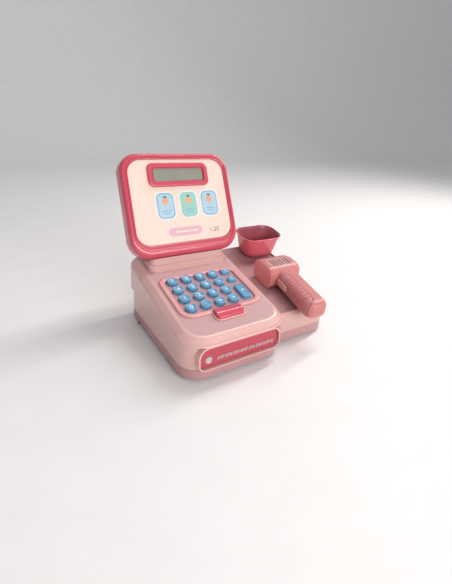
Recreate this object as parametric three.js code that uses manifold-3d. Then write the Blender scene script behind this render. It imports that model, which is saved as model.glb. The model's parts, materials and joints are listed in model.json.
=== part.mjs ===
// Toy cash register: a sloped case with a keypad, a cash drawer and a leaning display, and a
// side platform that carries a loose tub and a hand scanner.
// Millimetres. X points right, Y to the back and Z up. While it is built, x = 0 is the middle
// column of keys, y = 0 the front row of keys and z = 0 the floor. The last lines move the
// origin to the centre of the bottom.

import * as THREE from 'three';
import { mergeVertices } from 'three/addons/utils/BufferGeometryUtils.js';
import Module from 'manifold-3d';

const wasm = await Module();
wasm.setup();

const radians = THREE.MathUtils.degToRad;

// Segments in each quarter arc: plan corners and rounded edges, outside and inside the shells.
const FINE = { arc: 5, edge: 3 };
const COARSE = { arc: 3, edge: 2 };
const detail = (inset) => (inset > 0 ? COARSE : FINE);

// ---------------------------------------------------------------- driving dimensions

const FIT = 0.4;                 // clearance between neighbouring pieces
const WALL = 2.5;                // moulded wall

const DECK_TILT = radians(10.4); // slope of the deck and of the side platform
const SLOPE = Math.tan(DECK_TILT);
const DECK_Z = 64.4;             // deck height at the front row of keys

const FOOT = { radius: 6, height: 4 };
const PAN_BOTTOM = FOOT.height + 0.3;
const PAN_TOP = 15.6;
const SHELL_BOTTOM = PAN_TOP + FIT;

const CASE = { halfWidth: 69, front: -58, back: 142, frontRadius: 32, backRadius: 24, edge: 9 };
const LIP_Z = 46.6;              // underside of the overhanging front band
const SKIRT = { inset: 3, front: -51, back: 139, frontRadius: 26, backRadius: 21 };

const PLINTH = { halfWidth: 53, front: 85, back: 128, radius: 8, stepOut: 2, stepHeight: 9 };

const PITCH = 19;                // key spacing, both ways
const COLUMNS = [-2, -1, 0, 1, 2].map((column) => column * PITCH);
const ROWS = [0, 1, 2, 3].map((row) => row * PITCH);
const KEY = { radius: 6.75, top: 3.8, edge: 1.2, flange: 1.1, flangeHeight: 1.2, sides: 12 };
const KEY_HOLE = { sides: 10, radius: (KEY.radius + FIT) / Math.cos(Math.PI / 10) };
const SMALL_KEY = { width: 12.5, depth: 9 };
const TALL_KEY = { width: 12.5, depth: 28 };
const UNDER_DECK = -WALL - FIT;  // where flanges start, below the deck

const BEZEL = { halfWidth: 55, front: -17, back: 68, radius: 17, height: 2.4, rim: 6 };
const BAR = { halfWidth: 17.5, front: -30.5, back: -12, radius: 4.5, rim: 2.6 };
const CRADLE = { halfWidth: 22, front: -27, back: -15, floor: -14.6, thickness: 1.6 };

const DRAWER = { halfWidth: 52, bottom: 19, top: 43.6, front: -53.5, faceDepth: 4.2,
  trayHalfWidth: 48, trayBottom: 20.2, trayTop: 41.6, back: 92, wall: 2, coinDepth: 40,
  radii: [7, 7, 10, 10] };

const MOUTH = { clear: 0.5, rim: 1.9, front: 56.6 };   // rim round the drawer

const WING = { left: 69.4, right: 159, front: -32, back: 146, edge: 6, floorZ: 45.5,
  rimHeight: 3, rimWidth: 3 };
const WING_RADII = [9, 26, 15, 8];            // front left, front right, back right, back left

const DISPLAY = { y: 82, z: 100, lean: radians(24.3), halfWidth: 77.5, height: 140,
  bottomRadius: 28, topRadius: 24, frameDepth: 12, backDepth: 15, edge: 6 };
const FACE = { halfWidth: 68.3, bottom: 17, top: 131, recess: 1.5, thickness: 2, radius: 19 };
const LCD = { halfWidth: 36, bottom: 100.5, top: 118.5, band: 7.5, rise: 2.6 };
const TONGUE = { halfWidth: 28, low: -13, front: -14, back: -24 };

const TUB = { x: 133, y: 125.5, baseHalfX: 25, baseHalfY: 19.5, rimHalfX: 34, rimHalfY: 23.5,
  height: 35.5, wall: 1.8, radius: 17, lip: 1.6, lipHeight: 2.2,
  heel: [[0, 6.5], [1, 3.6], [3, 1.5], [6, 0.4], [10, 0]] };  // [height, how far it is tucked in]

const SCANNER = { x: 90, y: 44, yaw: radians(0), tip: radians(-1.5), thickness: 32 };
const HEAD = { length: 60, halfHeight: 22.5, backRadius: 17, edge: 13 };
const PANE = 1.8;                               // thickness of the scanner's front window
const HANDLE = { x: 30, halfWidth: 16, length: 106, rake: radians(-6), edge: 9, radius: 12,
  thickness: 25 };
const GRIP = { x0: -20, x1: -3, y0: -100, y1: -28, radii: [3, 13, 9, 3], depth: 2, ridges: 8,
  ridgeStep: 6.4, ridgeWidth: 2.4, ridgeDepth: 0.9 };
const TRIGGER = { high: -25, low: -49, thickness: 8, proud: 2 };

// ---------------------------------------------------------------- materials

const plastic = (color, roughness = 0.35) => new THREE.MeshStandardMaterial({ color, roughness });
const metal = (color) => new THREE.MeshStandardMaterial({ color, roughness: 0.35, metalness: 1 });

const BLUSH = plastic(0xeab4ac);
const SALMON = plastic(0xe79a90);
const MAUVE = plastic(0xc98f93, 0.45);
const CORAL = plastic(0xe85a72, 0.3);
const CRIMSON = plastic(0xc9475c, 0.3);
const TUB_RED = plastic(0xd04558, 0.25);
const SKY = plastic(0x6cb4de, 0.35);
const CREAM = plastic(0xfae8da, 0.4);
const LCD_GREY = plastic(0x97968a, 0.15);
const DUSKY = plastic(0xa9575f, 0.5);
const WINDOW = plastic(0x7a3138, 0.12);
const RUBBER = plastic(0x3b3b3f, 0.9);
const SILICONE = plastic(0xd8d4cc, 0.7);
const BOARD = plastic(0x2f6b45, 0.55);
const STEEL = metal(0xc4c7cb);
const SPEAKER_BLACK = plastic(0x2a2a2c, 0.6);

// ---------------------------------------------------------------- making and cutting solids

function solid(geometry) {
  const bare = geometry.clone();
  bare.deleteAttribute('normal');
  bare.deleteAttribute('uv');
  const welded = mergeVertices(bare, 1e-4);
  return new wasm.Manifold(new wasm.Mesh({
    numProp: 3,
    vertProperties: new Float32Array(welded.attributes.position.array),
    triVerts: new Uint32Array(welded.index.array),
  }));
}

function geometryOf(manifold) {
  const { vertProperties, triVerts } = manifold.getMesh();
  const geometry = new THREE.BufferGeometry();
  geometry.setAttribute('position', new THREE.BufferAttribute(new Float32Array(vertProperties), 3));
  geometry.setIndex(new THREE.BufferAttribute(new Uint32Array(triVerts), 1));
  geometry.computeVertexNormals();
  return geometry;
}

function addMesh(parent, name, shape, material) {
  const geometry = shape instanceof THREE.BufferGeometry ? shape : geometryOf(shape);
  const mesh = new THREE.Mesh(geometry, material);
  mesh.name = name;
  parent.add(mesh);
  return mesh;
}

// A rectangle with round corners. radii is one number or [front left, front right, back right,
// back left]; front is the low-y side.
function roundedRect(x0, x1, y0, y1, radii) {
  const [fl, fr, br, bl] = Array.isArray(radii) ? radii : [radii, radii, radii, radii];
  const quarter = Math.PI / 2;
  const shape = new THREE.Shape();
  shape.moveTo(x0 + fl, y0);
  shape.absarc(x1 - fr, y0 + fr, fr, -quarter, 0);
  shape.absarc(x1 - br, y1 - br, br, 0, quarter);
  shape.absarc(x0 + bl, y1 - bl, bl, quarter, 2 * quarter);
  shape.absarc(x0 + fl, y0 + fl, fl, 2 * quarter, 3 * quarter);
  return shape;
}

function extruded(shape, z0, z1, curveSegments = FINE.arc) {
  const options = { depth: z1 - z0, bevelEnabled: false, curveSegments };
  return new THREE.ExtrudeGeometry(shape, options).translate(0, 0, z0);
}

// An extrusion with both ends rounded over by edge.
function pillow(shape, z0, z1, edge, { arc, edge: bevelSegments } = FINE) {
  const options = { depth: z1 - z0 - 2 * edge, curveSegments: arc, bevelSegments,
    bevelThickness: edge, bevelSize: edge, bevelOffset: -edge };
  return new THREE.ExtrudeGeometry(shape, options).translate(0, 0, z0 + edge);
}

function block(x0, x1, y0, y1, z0, z1) {
  const geometry = new THREE.BoxGeometry(x1 - x0, y1 - y0, z1 - z0);
  return solid(geometry.translate((x0 + x1) / 2, (y0 + y1) / 2, (z0 + z1) / 2));
}

// An extrusion with only its top end rounded over.
function domed(shape, z0, z1, edge, segments = FINE) {
  const below = z0 - 2 * edge;
  const whole = solid(pillow(shape, below, z1, edge, segments));
  return whole.subtract(block(-500, 500, -500, 500, below - 1, z0));
}

function cylinder(radius, z0, z1, x = 0, y = 0, sides = 16) {
  const geometry = new THREE.CylinderGeometry(radius, radius, z1 - z0, sides);
  return solid(geometry.rotateX(Math.PI / 2).translate(x, y, (z0 + z1) / 2));
}

// A profile of [radius, height] pairs turned round the Z axis.
function turned(profile, sides = 16) {
  const points = profile.map(([radius, height]) => new THREE.Vector2(radius, height));
  return new THREE.LatheGeometry(points, sides).rotateX(Math.PI / 2);
}

// Leans a geometry's level planes to the deck's slope and keeps its walls upright.
function sloped(geometry) {
  const shear = new THREE.Matrix4().set(1, 0, 0, 0, 0, 1, 0, 0, 0, SLOPE, 1, 0, 0, 0, 0, 1);
  return geometry.clone().applyMatrix4(shear);
}

// Carries a solid made in a group's own frame into the register's frame.
function placed(manifold, group) {
  group.updateWorldMatrix(true, false);
  return solid(geometryOf(manifold).applyMatrix4(group.matrixWorld));
}

class Helix extends THREE.Curve {
  constructor(radius, turns, length) {
    super();
    Object.assign(this, { radius, turns, length });
  }

  getPoint(t, target = new THREE.Vector3()) {
    const angle = 2 * Math.PI * this.turns * t;
    const { radius, length } = this;
    return target.set(radius * Math.cos(angle), radius * Math.sin(angle), length * t);
  }

  getLength() {
    return Math.hypot(2 * Math.PI * this.radius * this.turns, this.length);
  }
}

function coilSpring(radius, wire, turns, z0, z1) {
  const path = new Helix(radius, turns, z1 - z0 - 2 * wire);
  const section = new THREE.Shape().absarc(0, 0, wire, 0, 2 * Math.PI);
  const options = { steps: turns * 8, extrudePath: path, curveSegments: 2, bevelEnabled: false };
  return new THREE.ExtrudeGeometry(section, options).translate(0, 0, z0 + wire);
}

// ---------------------------------------------------------------- frames

const register = new THREE.Group();

const deck = new THREE.Group();          // x, y along the deck and z out of it
deck.position.z = DECK_Z;
deck.rotation.x = DECK_TILT;

const wingDeck = new THREE.Group();      // the same on the side platform's recessed floor
wingDeck.position.z = WING.floorZ;
wingDeck.rotation.x = DECK_TILT;

const display = new THREE.Group();       // x, y up the display and z out of its face
display.position.set(0, DISPLAY.y, DISPLAY.z);
display.rotation.x = Math.PI / 2 - DISPLAY.lean;

const scanner = new THREE.Group();       // x along the head, y up the grip, z through it
scanner.position.set(SCANNER.x, SCANNER.y, FIT);
scanner.rotation.set(SCANNER.tip, 0, SCANNER.yaw);
wingDeck.add(scanner);

register.add(deck, wingDeck, display);

// ---------------------------------------------------------------- case

const POSTS = [[-57, -32], [57, -32], [-58, 116], [58, 116]];
const POST = { radius: 4.2, bore: 1.6 };

function caseHood(inset) {
  const { halfWidth, front, back, frontRadius, backRadius, edge } = CASE;
  const plan = roundedRect(-halfWidth + inset, halfWidth - inset, front + inset, back - inset,
    [frontRadius - inset, frontRadius - inset, backRadius - inset, backRadius - inset]);
  const blank = sloped(pillow(plan, -60, DECK_Z - inset, edge - inset / 2, detail(inset)));
  return solid(blank).subtract(block(-200, 200, -200, 200, -200, LIP_Z + inset));
}

function caseSkirt(inset, z0, z1) {
  const { front, back, frontRadius, backRadius } = SKIRT;
  const half = CASE.halfWidth - SKIRT.inset - inset;
  const radii = [frontRadius, frontRadius, backRadius, backRadius].map((r) => r - inset);
  const plan = roundedRect(-half, half, front + inset, back - inset, radii);
  return solid(extruded(plan, z0, z1, detail(inset).arc));
}

// A wedge behind the keypad whose top lies parallel to the display's underside.
function plinth(inset) {
  const { halfWidth, front, back, radius, stepOut, stepHeight } = PLINTH;
  const wedge = (grow, top) => sloped(extruded(
    roundedRect(-halfWidth - grow + inset, halfWidth + grow - inset, front - grow + inset,
      back + grow - inset, radius + grow - inset), DECK_Z - 8, top, detail(inset).arc));
  const above = placed(block(-200, 200, -FIT - inset, 200, -200, 200), display);
  const upper = solid(wedge(0, DECK_Z + 40));
  return upper.add(solid(wedge(stepOut, DECK_Z + stepHeight - inset))).subtract(above);
}

function makeUpperCase() {
  let shell = caseHood(0).add(caseSkirt(0, SHELL_BOTTOM, LIP_Z + 2)).add(plinth(0));
  shell = shell.subtract(caseHood(WALL)).subtract(caseSkirt(WALL, SHELL_BOTTOM - 5, LIP_Z + 5));
  shell = shell.subtract(plinth(WALL));

  for (const [x, y] of POSTS) {
    const height = DECK_Z + SLOPE * y - 1;
    const post = cylinder(POST.radius, SHELL_BOTTOM, height, x, y, 12);
    shell = shell.add(post.subtract(cylinder(POST.bore, SHELL_BOTTOM - 1, 40, x, y, 10)));
  }

  const { halfWidth, front, back, floor, thickness } = CRADLE;
  const cradle = block(-halfWidth, halfWidth, front, back, floor, -WALL / 2)
    .subtract(block(-halfWidth + 1.8, halfWidth - 1.8, front - 1, back + 1, floor + thickness, 5))
    .subtract(cylinder(3, floor - 1, floor + 5, 0, (BAR.front + BAR.back) / 2, 12));
  shell = shell.add(placed(cradle, deck));

  const keypadHole = solid(extruded(roundedRect(-51.5, 51.5, -12.5, 64.5, 12), -8, 6, 4));
  const barHole = solid(extruded(roundedRect(-19.4, 19.4, -32.4, -5, 5), -5.8, 6, 3));
  shell = shell.subtract(placed(keypadHole, deck)).subtract(placed(barHole, deck));

  const mouthPlan = (grow) => roundedRect(-DRAWER.halfWidth - grow, DRAWER.halfWidth + grow,
    Math.max(DRAWER.bottom - grow, SHELL_BOTTOM), DRAWER.top + grow,
    DRAWER.radii.map((radius) => radius + grow));
  const boss = extruded(mouthPlan(MOUTH.clear + MOUTH.rim), 42, MOUTH.front, 5);
  const mouth = extruded(mouthPlan(MOUTH.clear), 38, 60, 4);
  shell = shell.add(solid(boss.rotateX(Math.PI / 2))).subtract(solid(mouth.rotateX(Math.PI / 2)));

  const socket = block(-TONGUE.halfWidth - FIT, TONGUE.halfWidth + FIT, TONGUE.low - 1, 3,
    TONGUE.back - FIT, TONGUE.front + FIT);
  shell = shell.subtract(placed(socket, display));
  addMesh(register, 'upper_case', shell, BLUSH);
}

const BATTERY_BAY = { x0: -12, x1: 50, y0: 99, y1: 134, top: 24, wall: 2 };
const DRAWER_STOP = { x: 19, top: 38 };           // the drawer's spring pushes against it
const SPEAKER = { x: -36.5, y: 116, radius: 15.5, height: 9 };

function makeBasePan() {
  let pan = caseSkirt(0, PAN_BOTTOM, PAN_TOP);
  pan = pan.subtract(caseSkirt(WALL, PAN_BOTTOM + WALL, PAN_TOP + 5));

  const { x0, x1, y0, y1, top, wall } = BATTERY_BAY;
  pan = pan.add(block(x0, x1, y0, y1, PAN_BOTTOM + 1, top));
  pan = pan.subtract(block(x0 + wall, x1 - wall, y0 + wall, y1 - wall, PAN_BOTTOM - 5, top - wall));

  pan = pan.add(block(DRAWER_STOP.x - 6, DRAWER_STOP.x + 6, y0, y0 + wall,
    PAN_BOTTOM + 1, DRAWER_STOP.top));
  for (const x of [-46, 46]) {             // rails under the drawer
    pan = pan.add(block(x - 1.2, x + 1.2, -41, DRAWER.back, PAN_BOTTOM + 1, DRAWER.trayBottom - FIT));
  }
  for (const [x, y] of POSTS) {
    pan = pan.add(cylinder(POST.radius + 0.6, PAN_BOTTOM + 1, SHELL_BOTTOM - FIT, x, y, 12));
    pan = pan.subtract(cylinder(POST.bore, PAN_BOTTOM - 1, 40, x, y, 10));
    pan = pan.subtract(cylinder(3.3, PAN_BOTTOM - 1, PAN_BOTTOM + 4, x, y, 12));
  }
  for (let slot = -2; slot <= 2; slot += 1) {
    const x = SPEAKER.x + slot * 5;
    const reach = 11 - Math.abs(slot) * 2;
    pan = pan.subtract(block(x - 1, x + 1, SPEAKER.y - reach, SPEAKER.y + reach, 0, PAN_BOTTOM + 4));
  }
  const hole = cylinder(1.6, PAN_BOTTOM - 1, PAN_BOTTOM + 10, x0 - 4, (y0 + y1) / 2, 10);
  const boss = cylinder(3.4, PAN_BOTTOM + 1, PAN_BOTTOM + 9, x0 - 4, (y0 + y1) / 2, 12);
  const ledge = block(x0 - 8.4, x0 + wall + 1, y0 + 10, y1 - 10, PAN_BOTTOM - 1, PAN_BOTTOM + 1.6);
  pan = pan.add(boss).subtract(hole).subtract(ledge);
  addMesh(register, 'base_pan', pan, MAUVE);

  const doorTop = PAN_BOTTOM + 1.6 - FIT;
  const middle = (y0 + y1) / 2;
  const door = block(x0 + wall + FIT, x1 - wall - FIT, y0 + wall + FIT, y1 - wall - FIT,
    PAN_BOTTOM, doorTop)
    .add(block(x0 - 8, x0 + wall + 2, y0 + 10.4, y1 - 10.4, PAN_BOTTOM, doorTop))
    .subtract(cylinder(1.9, 0, 10, x0 - 4, middle, 10));
  addMesh(register, 'battery_door', door, MAUVE);

  const screw = turned([[0, 0], [1.2, 0], [1.2, 5.4], [2.9, 5.4], [2.9, 6.4], [0, 6.4]], 8);
  screw.rotateX(Math.PI).translate(x0 - 4, middle, PAN_BOTTOM - 0.3 + 5.4);
  addMesh(register, 'battery_door_screw', screw, STEEL);

  const contact = 0.7;
  const contacts = { battery_contact_minus: x0 + wall + 0.3,
    battery_contact_plus: x1 - wall - 0.3 - contact };
  for (const [name, x] of Object.entries(contacts)) {
    const strip = block(x, x + contact, y0 + 5, y1 - 5, PAN_BOTTOM + 4, top - wall - 2);
    addMesh(register, name, strip, STEEL);
  }
}

function makeSpeaker() {
  const { x, y, radius, height } = SPEAKER;
  const profile = [[0, 0], [radius - 2, 0], [radius, 1.2], [radius, 3.4], [radius - 5, 5],
    [9, 5.4], [9, height], [0, height]];
  const speaker = turned(profile, 14).translate(x, y, PAN_BOTTOM + WALL + FIT);
  addMesh(register, 'speaker', speaker, SPEAKER_BLACK);
}

function makeFeetAndScrews() {
  const feet = { foot_front_left: [-44, -36], foot_front_right: [44, -36],
    foot_back_left: [-60, 104], foot_back_right: [57, 104],
    foot_platform_front: [142, -14], foot_platform_back: [142, 128] };
  const { radius, height } = FOOT;
  for (const [name, [x, y]] of Object.entries(feet)) {
    const foot = turned([[0, 0], [radius - 0.8, 0], [radius, 1], [radius, height], [0, height]], 12);
    addMesh(register, name, foot.translate(x, y, 0), RUBBER);
  }
  POSTS.forEach(([x, y], index) => {
    const length = 18;
    const profile = [[0, 0], [2.7, 0], [2.7, 1.8], [1.2, 2.4], [1.2, length], [0, length]];
    const screw = turned(profile, 8).translate(x, y, PAN_BOTTOM + 1.6);
    addMesh(register, `case_screw_${index + 1}`, screw, STEEL);
  });
}

// ---------------------------------------------------------------- keypad

const KEYS = [
  ['key_0', 0, 0], ['key_point', 1, 0], ['key_equals', 2, 0], ['key_divide', 3, 0],
  ['key_1', 0, 1], ['key_2', 1, 1], ['key_3', 2, 1], ['key_times', 3, 1],
  ['key_4', 0, 2], ['key_5', 1, 2], ['key_6', 2, 2], ['key_minus', 3, 2],
  ['key_7', 0, 3], ['key_8', 1, 3], ['key_9', 2, 3], ['key_plus', 3, 3],
];
const BLOCK_KEYS = [
  ['key_clear', 4, 2, SMALL_KEY], ['key_percent', 4, 3, SMALL_KEY], ['key_total', 4, 0.5, TALL_KEY],
];

function makeKeys() {
  const { radius, top, edge, flange, flangeHeight } = KEY;
  const profile = [[0, UNDER_DECK - flangeHeight], [radius + flange, UNDER_DECK - flangeHeight],
    [radius + flange, UNDER_DECK], [radius, UNDER_DECK], [radius, top - edge],
    [radius - edge, top], [0, top]];
  for (const [name, column, row] of KEYS) {
    addMesh(deck, name, turned(profile, KEY.sides), SKY).position.set(COLUMNS[column], ROWS[row], 0);
  }
  for (const [name, column, row, { width, depth }] of BLOCK_KEYS) {
    const outline = (grow) => roundedRect(-width / 2 - grow, width / 2 + grow,
      -depth / 2 - grow, depth / 2 + grow, 3.4 + grow);
    const cap = domed(outline(0), UNDER_DECK - 0.1, top, edge, COARSE);
    const skirt = solid(extruded(outline(flange), UNDER_DECK - flangeHeight, UNDER_DECK, 3));
    addMesh(deck, name, cap.add(skirt), SKY).position.set(COLUMNS[column], row * PITCH, 0);
  }
}

function makeKeypadPanel() {
  const { halfWidth, front, back, radius, height, rim } = BEZEL;
  const ring = domed(roundedRect(-halfWidth, halfWidth, front, back, [radius, radius, 13, 13]),
    0.3, height, 1.8, { arc: 5, edge: 2 });
  const plug = solid(extruded(roundedRect(-51.1, 51.1, -12.1, 64.1, 11.6), -WALL, 0.5, 4));
  const barRim = domed(roundedRect(-BAR.halfWidth - BAR.rim, BAR.halfWidth + BAR.rim,
    BAR.front - BAR.rim, front + 4, [6, 6, 1, 1]), 0.3, 1.5, 0.8, COARSE);
  const barPlug = solid(extruded(roundedRect(-19, 19, -32, -10, 4.6), -WALL, 0.5, 2));
  const floor = -0.8;
  const recess = solid(extruded(roundedRect(-halfWidth + rim, halfWidth - rim, front + rim,
    back - rim, [11.5, 11.5, 8, 8]), floor, 10, 5));
  let panel = ring.add(plug).add(barRim).add(barPlug).subtract(recess);

  for (const [, column, row] of KEYS) {
    const hole = cylinder(KEY_HOLE.radius, -10, 10, COLUMNS[column], ROWS[row], KEY_HOLE.sides);
    panel = panel.subtract(hole);
  }
  for (const [, column, row, { width, depth }] of BLOCK_KEYS) {
    const x = COLUMNS[column];
    const y = row * PITCH;
    const hole = roundedRect(x - width / 2 - FIT, x + width / 2 + FIT, y - depth / 2 - FIT,
      y + depth / 2 + FIT, 3.8);
    panel = panel.subtract(solid(extruded(hole, -10, 10, COARSE.arc)));
  }
  const barHole = roundedRect(-BAR.halfWidth - FIT, BAR.halfWidth + FIT, BAR.front - FIT,
    BAR.back + FIT, BAR.radius + FIT);
  panel = panel.subtract(solid(extruded(barHole, -10, 10, 3)));
  addMesh(deck, 'keypad_panel', panel, SALMON);
}

function makeKeyElectronics() {
  const membraneTop = UNDER_DECK - KEY.flangeHeight - 2.4;
  const sheet = extruded(roundedRect(-48, 48, -9, 61, 3), membraneTop - 1.6, membraneTop, 1);
  addMesh(deck, 'key_membrane', sheet, SILICONE);

  const boardTop = membraneTop - 1.6 - 0.3;
  const board = block(-50, 50, -10, 66, boardTop - 1.6, boardTop)
    .add(block(-12, 6, 40, 52, boardTop - 4, boardTop - 1))
    .add(block(20, 34, 12, 20, boardTop - 5, boardTop - 1));
  addMesh(deck, 'main_board', board, BOARD);
}

function makeReleaseBar() {
  const { halfWidth, front, back, radius } = BAR;
  const flangeTop = UNDER_DECK;
  const flangeBottom = flangeTop - 1.5;
  const middle = (front + back) / 2;
  const side = new THREE.Shape();       // section across the bar: y runs back and z up
  side.moveTo(front, flangeTop - 0.1);
  side.lineTo(front, 3.4);
  side.quadraticCurveTo(front + 0.2, 6, front + 3, 6.4);
  side.lineTo(middle - 2, 6.4);
  side.quadraticCurveTo(middle + 0.2, 6.2, middle + 0.8, 4.2);
  side.lineTo(back - 1.5, 2.8);
  side.quadraticCurveTo(back, 2.4, back, 1.2);
  side.lineTo(back, flangeTop - 0.1);
  const ridge = extruded(side, -halfWidth, halfWidth, 4);
  ridge.applyMatrix4(new THREE.Matrix4().makeBasis(
    new THREE.Vector3(0, 1, 0), new THREE.Vector3(0, 0, 1), new THREE.Vector3(1, 0, 0)));
  const plan = domed(roundedRect(-halfWidth, halfWidth, front, back, radius), -20, 7, 1.6);
  const flange = block(-halfWidth - 1.4, halfWidth + 1.4, front - 1.2, back + 1.2,
    flangeBottom, flangeTop);
  const stem = cylinder(2.4, -15.8, flangeBottom + 0.5, 0, middle, 12);
  addMesh(deck, 'release_bar', solid(ridge).intersect(plan).add(flange).add(stem), CORAL);

  const seat = CRADLE.floor + CRADLE.thickness + 0.3;
  const spring = coilSpring(4.2, 0.45, 4, seat, flangeBottom - 0.3);
  addMesh(deck, 'release_spring', spring, STEEL).position.y = middle;
}

// ---------------------------------------------------------------- drawer

const DRAWER_BAYS = { dividers: [-16, 16], coinDividers: [-24.5, 0, 24.5] };

function makeDrawer() {
  const { halfWidth, bottom, top, front, faceDepth, back, wall } = DRAWER;
  const { trayHalfWidth, trayBottom, trayTop } = DRAWER;
  const facePlan = roundedRect(-halfWidth, halfWidth, bottom, top, DRAWER.radii);
  const face = pillow(facePlan, -front - faceDepth, -front + 0.9, 0.9, { arc: 5, edge: 2 });
  let drawer = solid(face.rotateX(Math.PI / 2));
  const trayFront = front + faceDepth - 0.5;
  drawer = drawer.add(block(-trayHalfWidth, trayHalfWidth, trayFront, back, trayBottom, trayTop));

  const innerFront = front + faceDepth;
  const coinBack = innerFront + DRAWER.coinDepth;
  const cells = (dividers, y0, y1) => {
    const edges = [-trayHalfWidth + wall, ...dividers, trayHalfWidth - wall];
    for (let index = 0; index + 1 < edges.length; index += 1) {
      const x0 = edges[index] + (index > 0 ? wall / 2 : 0);
      const x1 = edges[index + 1] - (index + 2 < edges.length ? wall / 2 : 0);
      drawer = drawer.subtract(block(x0, x1, y0, y1, trayBottom + wall, trayTop + 5));
    }
  };
  cells(DRAWER_BAYS.coinDividers, innerFront + wall, coinBack);
  cells(DRAWER_BAYS.dividers, coinBack + wall, back - wall);
  addMesh(register, 'cash_drawer', drawer, CRIMSON);

  const spring = coilSpring(3.6, 0.5, 4, 0, BATTERY_BAY.y0 - back - 2 * FIT);
  spring.rotateX(-Math.PI / 2).translate(DRAWER_STOP.x, back + FIT, (trayBottom + trayTop) / 2);
  addMesh(register, 'drawer_spring', spring, STEEL);
}

// ---------------------------------------------------------------- side platform

function wingPlan(inset, extra = 0) {
  const radii = WING_RADII.map((radius) => Math.max(radius - inset, 1));
  return roundedRect(WING.left + inset, WING.right - inset, WING.front + inset,
    WING.back - inset + extra, radii);
}

function makeSidePlatform() {
  const rimTop = WING.floorZ + WING.rimHeight;
  const shellBlank = (inset, top) => solid(sloped(
    pillow(wingPlan(inset), -60, top, WING.edge - inset, detail(inset))))
    .subtract(block(-300, 300, -300, 300, -300, SHELL_BOTTOM - (inset > 0 ? 5 : 0)));
  const recess = solid(sloped(extruded(wingPlan(WING.rimWidth), WING.floorZ, WING.floorZ + 20)));
  const shell = shellBlank(0, rimTop).subtract(recess).subtract(shellBlank(WALL, WING.floorZ - WALL));
  addMesh(register, 'side_platform', shell, BLUSH);

  const base = solid(extruded(wingPlan(0.6), PAN_BOTTOM, PAN_TOP, 4))
    .subtract(solid(extruded(wingPlan(0.6 + WALL), PAN_BOTTOM + WALL, PAN_TOP + 5, 3)));
  addMesh(register, 'side_base', base, MAUVE);
}

// ---------------------------------------------------------------- display

function displayPlan(inset) {
  const { halfWidth, height, bottomRadius, topRadius } = DISPLAY;
  const radii = [bottomRadius, bottomRadius, topRadius, topRadius].map((radius) => radius - inset);
  return roundedRect(-halfWidth + inset, halfWidth - inset, inset, height - inset, radii);
}

function makeDisplay() {
  const { frameDepth, backDepth, edge } = DISPLAY;
  const split = -frameDepth;
  const facePlan = (grow) => roundedRect(-FACE.halfWidth - grow, FACE.halfWidth + grow,
    FACE.bottom - grow, FACE.top + grow, FACE.radius + grow);
  const faceTop = -FACE.recess;
  const faceBottom = faceTop - FACE.thickness;

  let frame = domed(displayPlan(0), split, 0, edge, { arc: 6, edge: 3 });
  frame = frame.subtract(solid(extruded(facePlan(FIT), faceBottom - FIT, 10)));
  frame = frame.subtract(solid(extruded(facePlan(-2.5), split - 1, 10, COARSE.arc)));
  frame = frame.subtract(solid(extruded(
    displayPlan(WALL), split - 1, faceBottom - FIT - 2, COARSE.arc)));
  addMesh(display, 'display_front_frame', frame, CORAL);

  const lcdPlan = (grow) => roundedRect(-LCD.halfWidth - grow, LCD.halfWidth + grow,
    LCD.bottom - grow, LCD.top + grow, 3 + grow * 0.75);
  const face = solid(extruded(facePlan(0), faceBottom, faceTop))
    .subtract(solid(extruded(lcdPlan(2), -20, 10, 3)));
  addMesh(display, 'display_face', face, CREAM);

  const bezelTop = faceTop + LCD.rise;
  const bezel = domed(lcdPlan(LCD.band), faceTop + 0.3, bezelTop, 1.4, { arc: 4, edge: 1 })
    .add(solid(extruded(lcdPlan(2 - FIT), faceBottom - 2, faceTop + 1, 3)))
    .subtract(solid(extruded(lcdPlan(0), faceTop - 0.4, 10, 3)))
    .subtract(solid(extruded(lcdPlan(-1.5), -20, 10, 2)));
  addMesh(display, 'lcd_bezel', bezel, CORAL);

  const glass = extruded(lcdPlan(-FIT), faceTop - 0.1, faceTop + 1, 3);
  addMesh(display, 'lcd_window', glass, LCD_GREY);

  const boardTop = faceBottom - 2.4;
  const board = block(-44, 44, 86, 124, boardTop - 1.6, boardTop);
  addMesh(display, 'display_board', board, BOARD);

  const low = split - backDepth;
  const turnOver = (geometry) => solid(geometry.rotateY(Math.PI));
  const bowl = (inset) => turnOver(
    pillow(displayPlan(inset), 0, -low - inset, edge + 3 - inset / 2, detail(inset)))
    .subtract(block(-200, 200, -200, 300, split - (inset > 0 ? -5 : FIT), 100));
  const { halfWidth, low: tongueLow, front: tongueFront, back: tongueBack } = TONGUE;
  const tongue = block(-halfWidth, halfWidth, tongueLow, 8, tongueBack, tongueFront)
    .subtract(block(-halfWidth + 2, halfWidth - 2, tongueLow + 2, 20, tongueBack + 2, 20));
  const back = bowl(0).subtract(bowl(WALL)).add(tongue.subtract(bowl(WALL)));
  addMesh(display, 'display_back', back, CORAL);
}

// ---------------------------------------------------------------- tub

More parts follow.
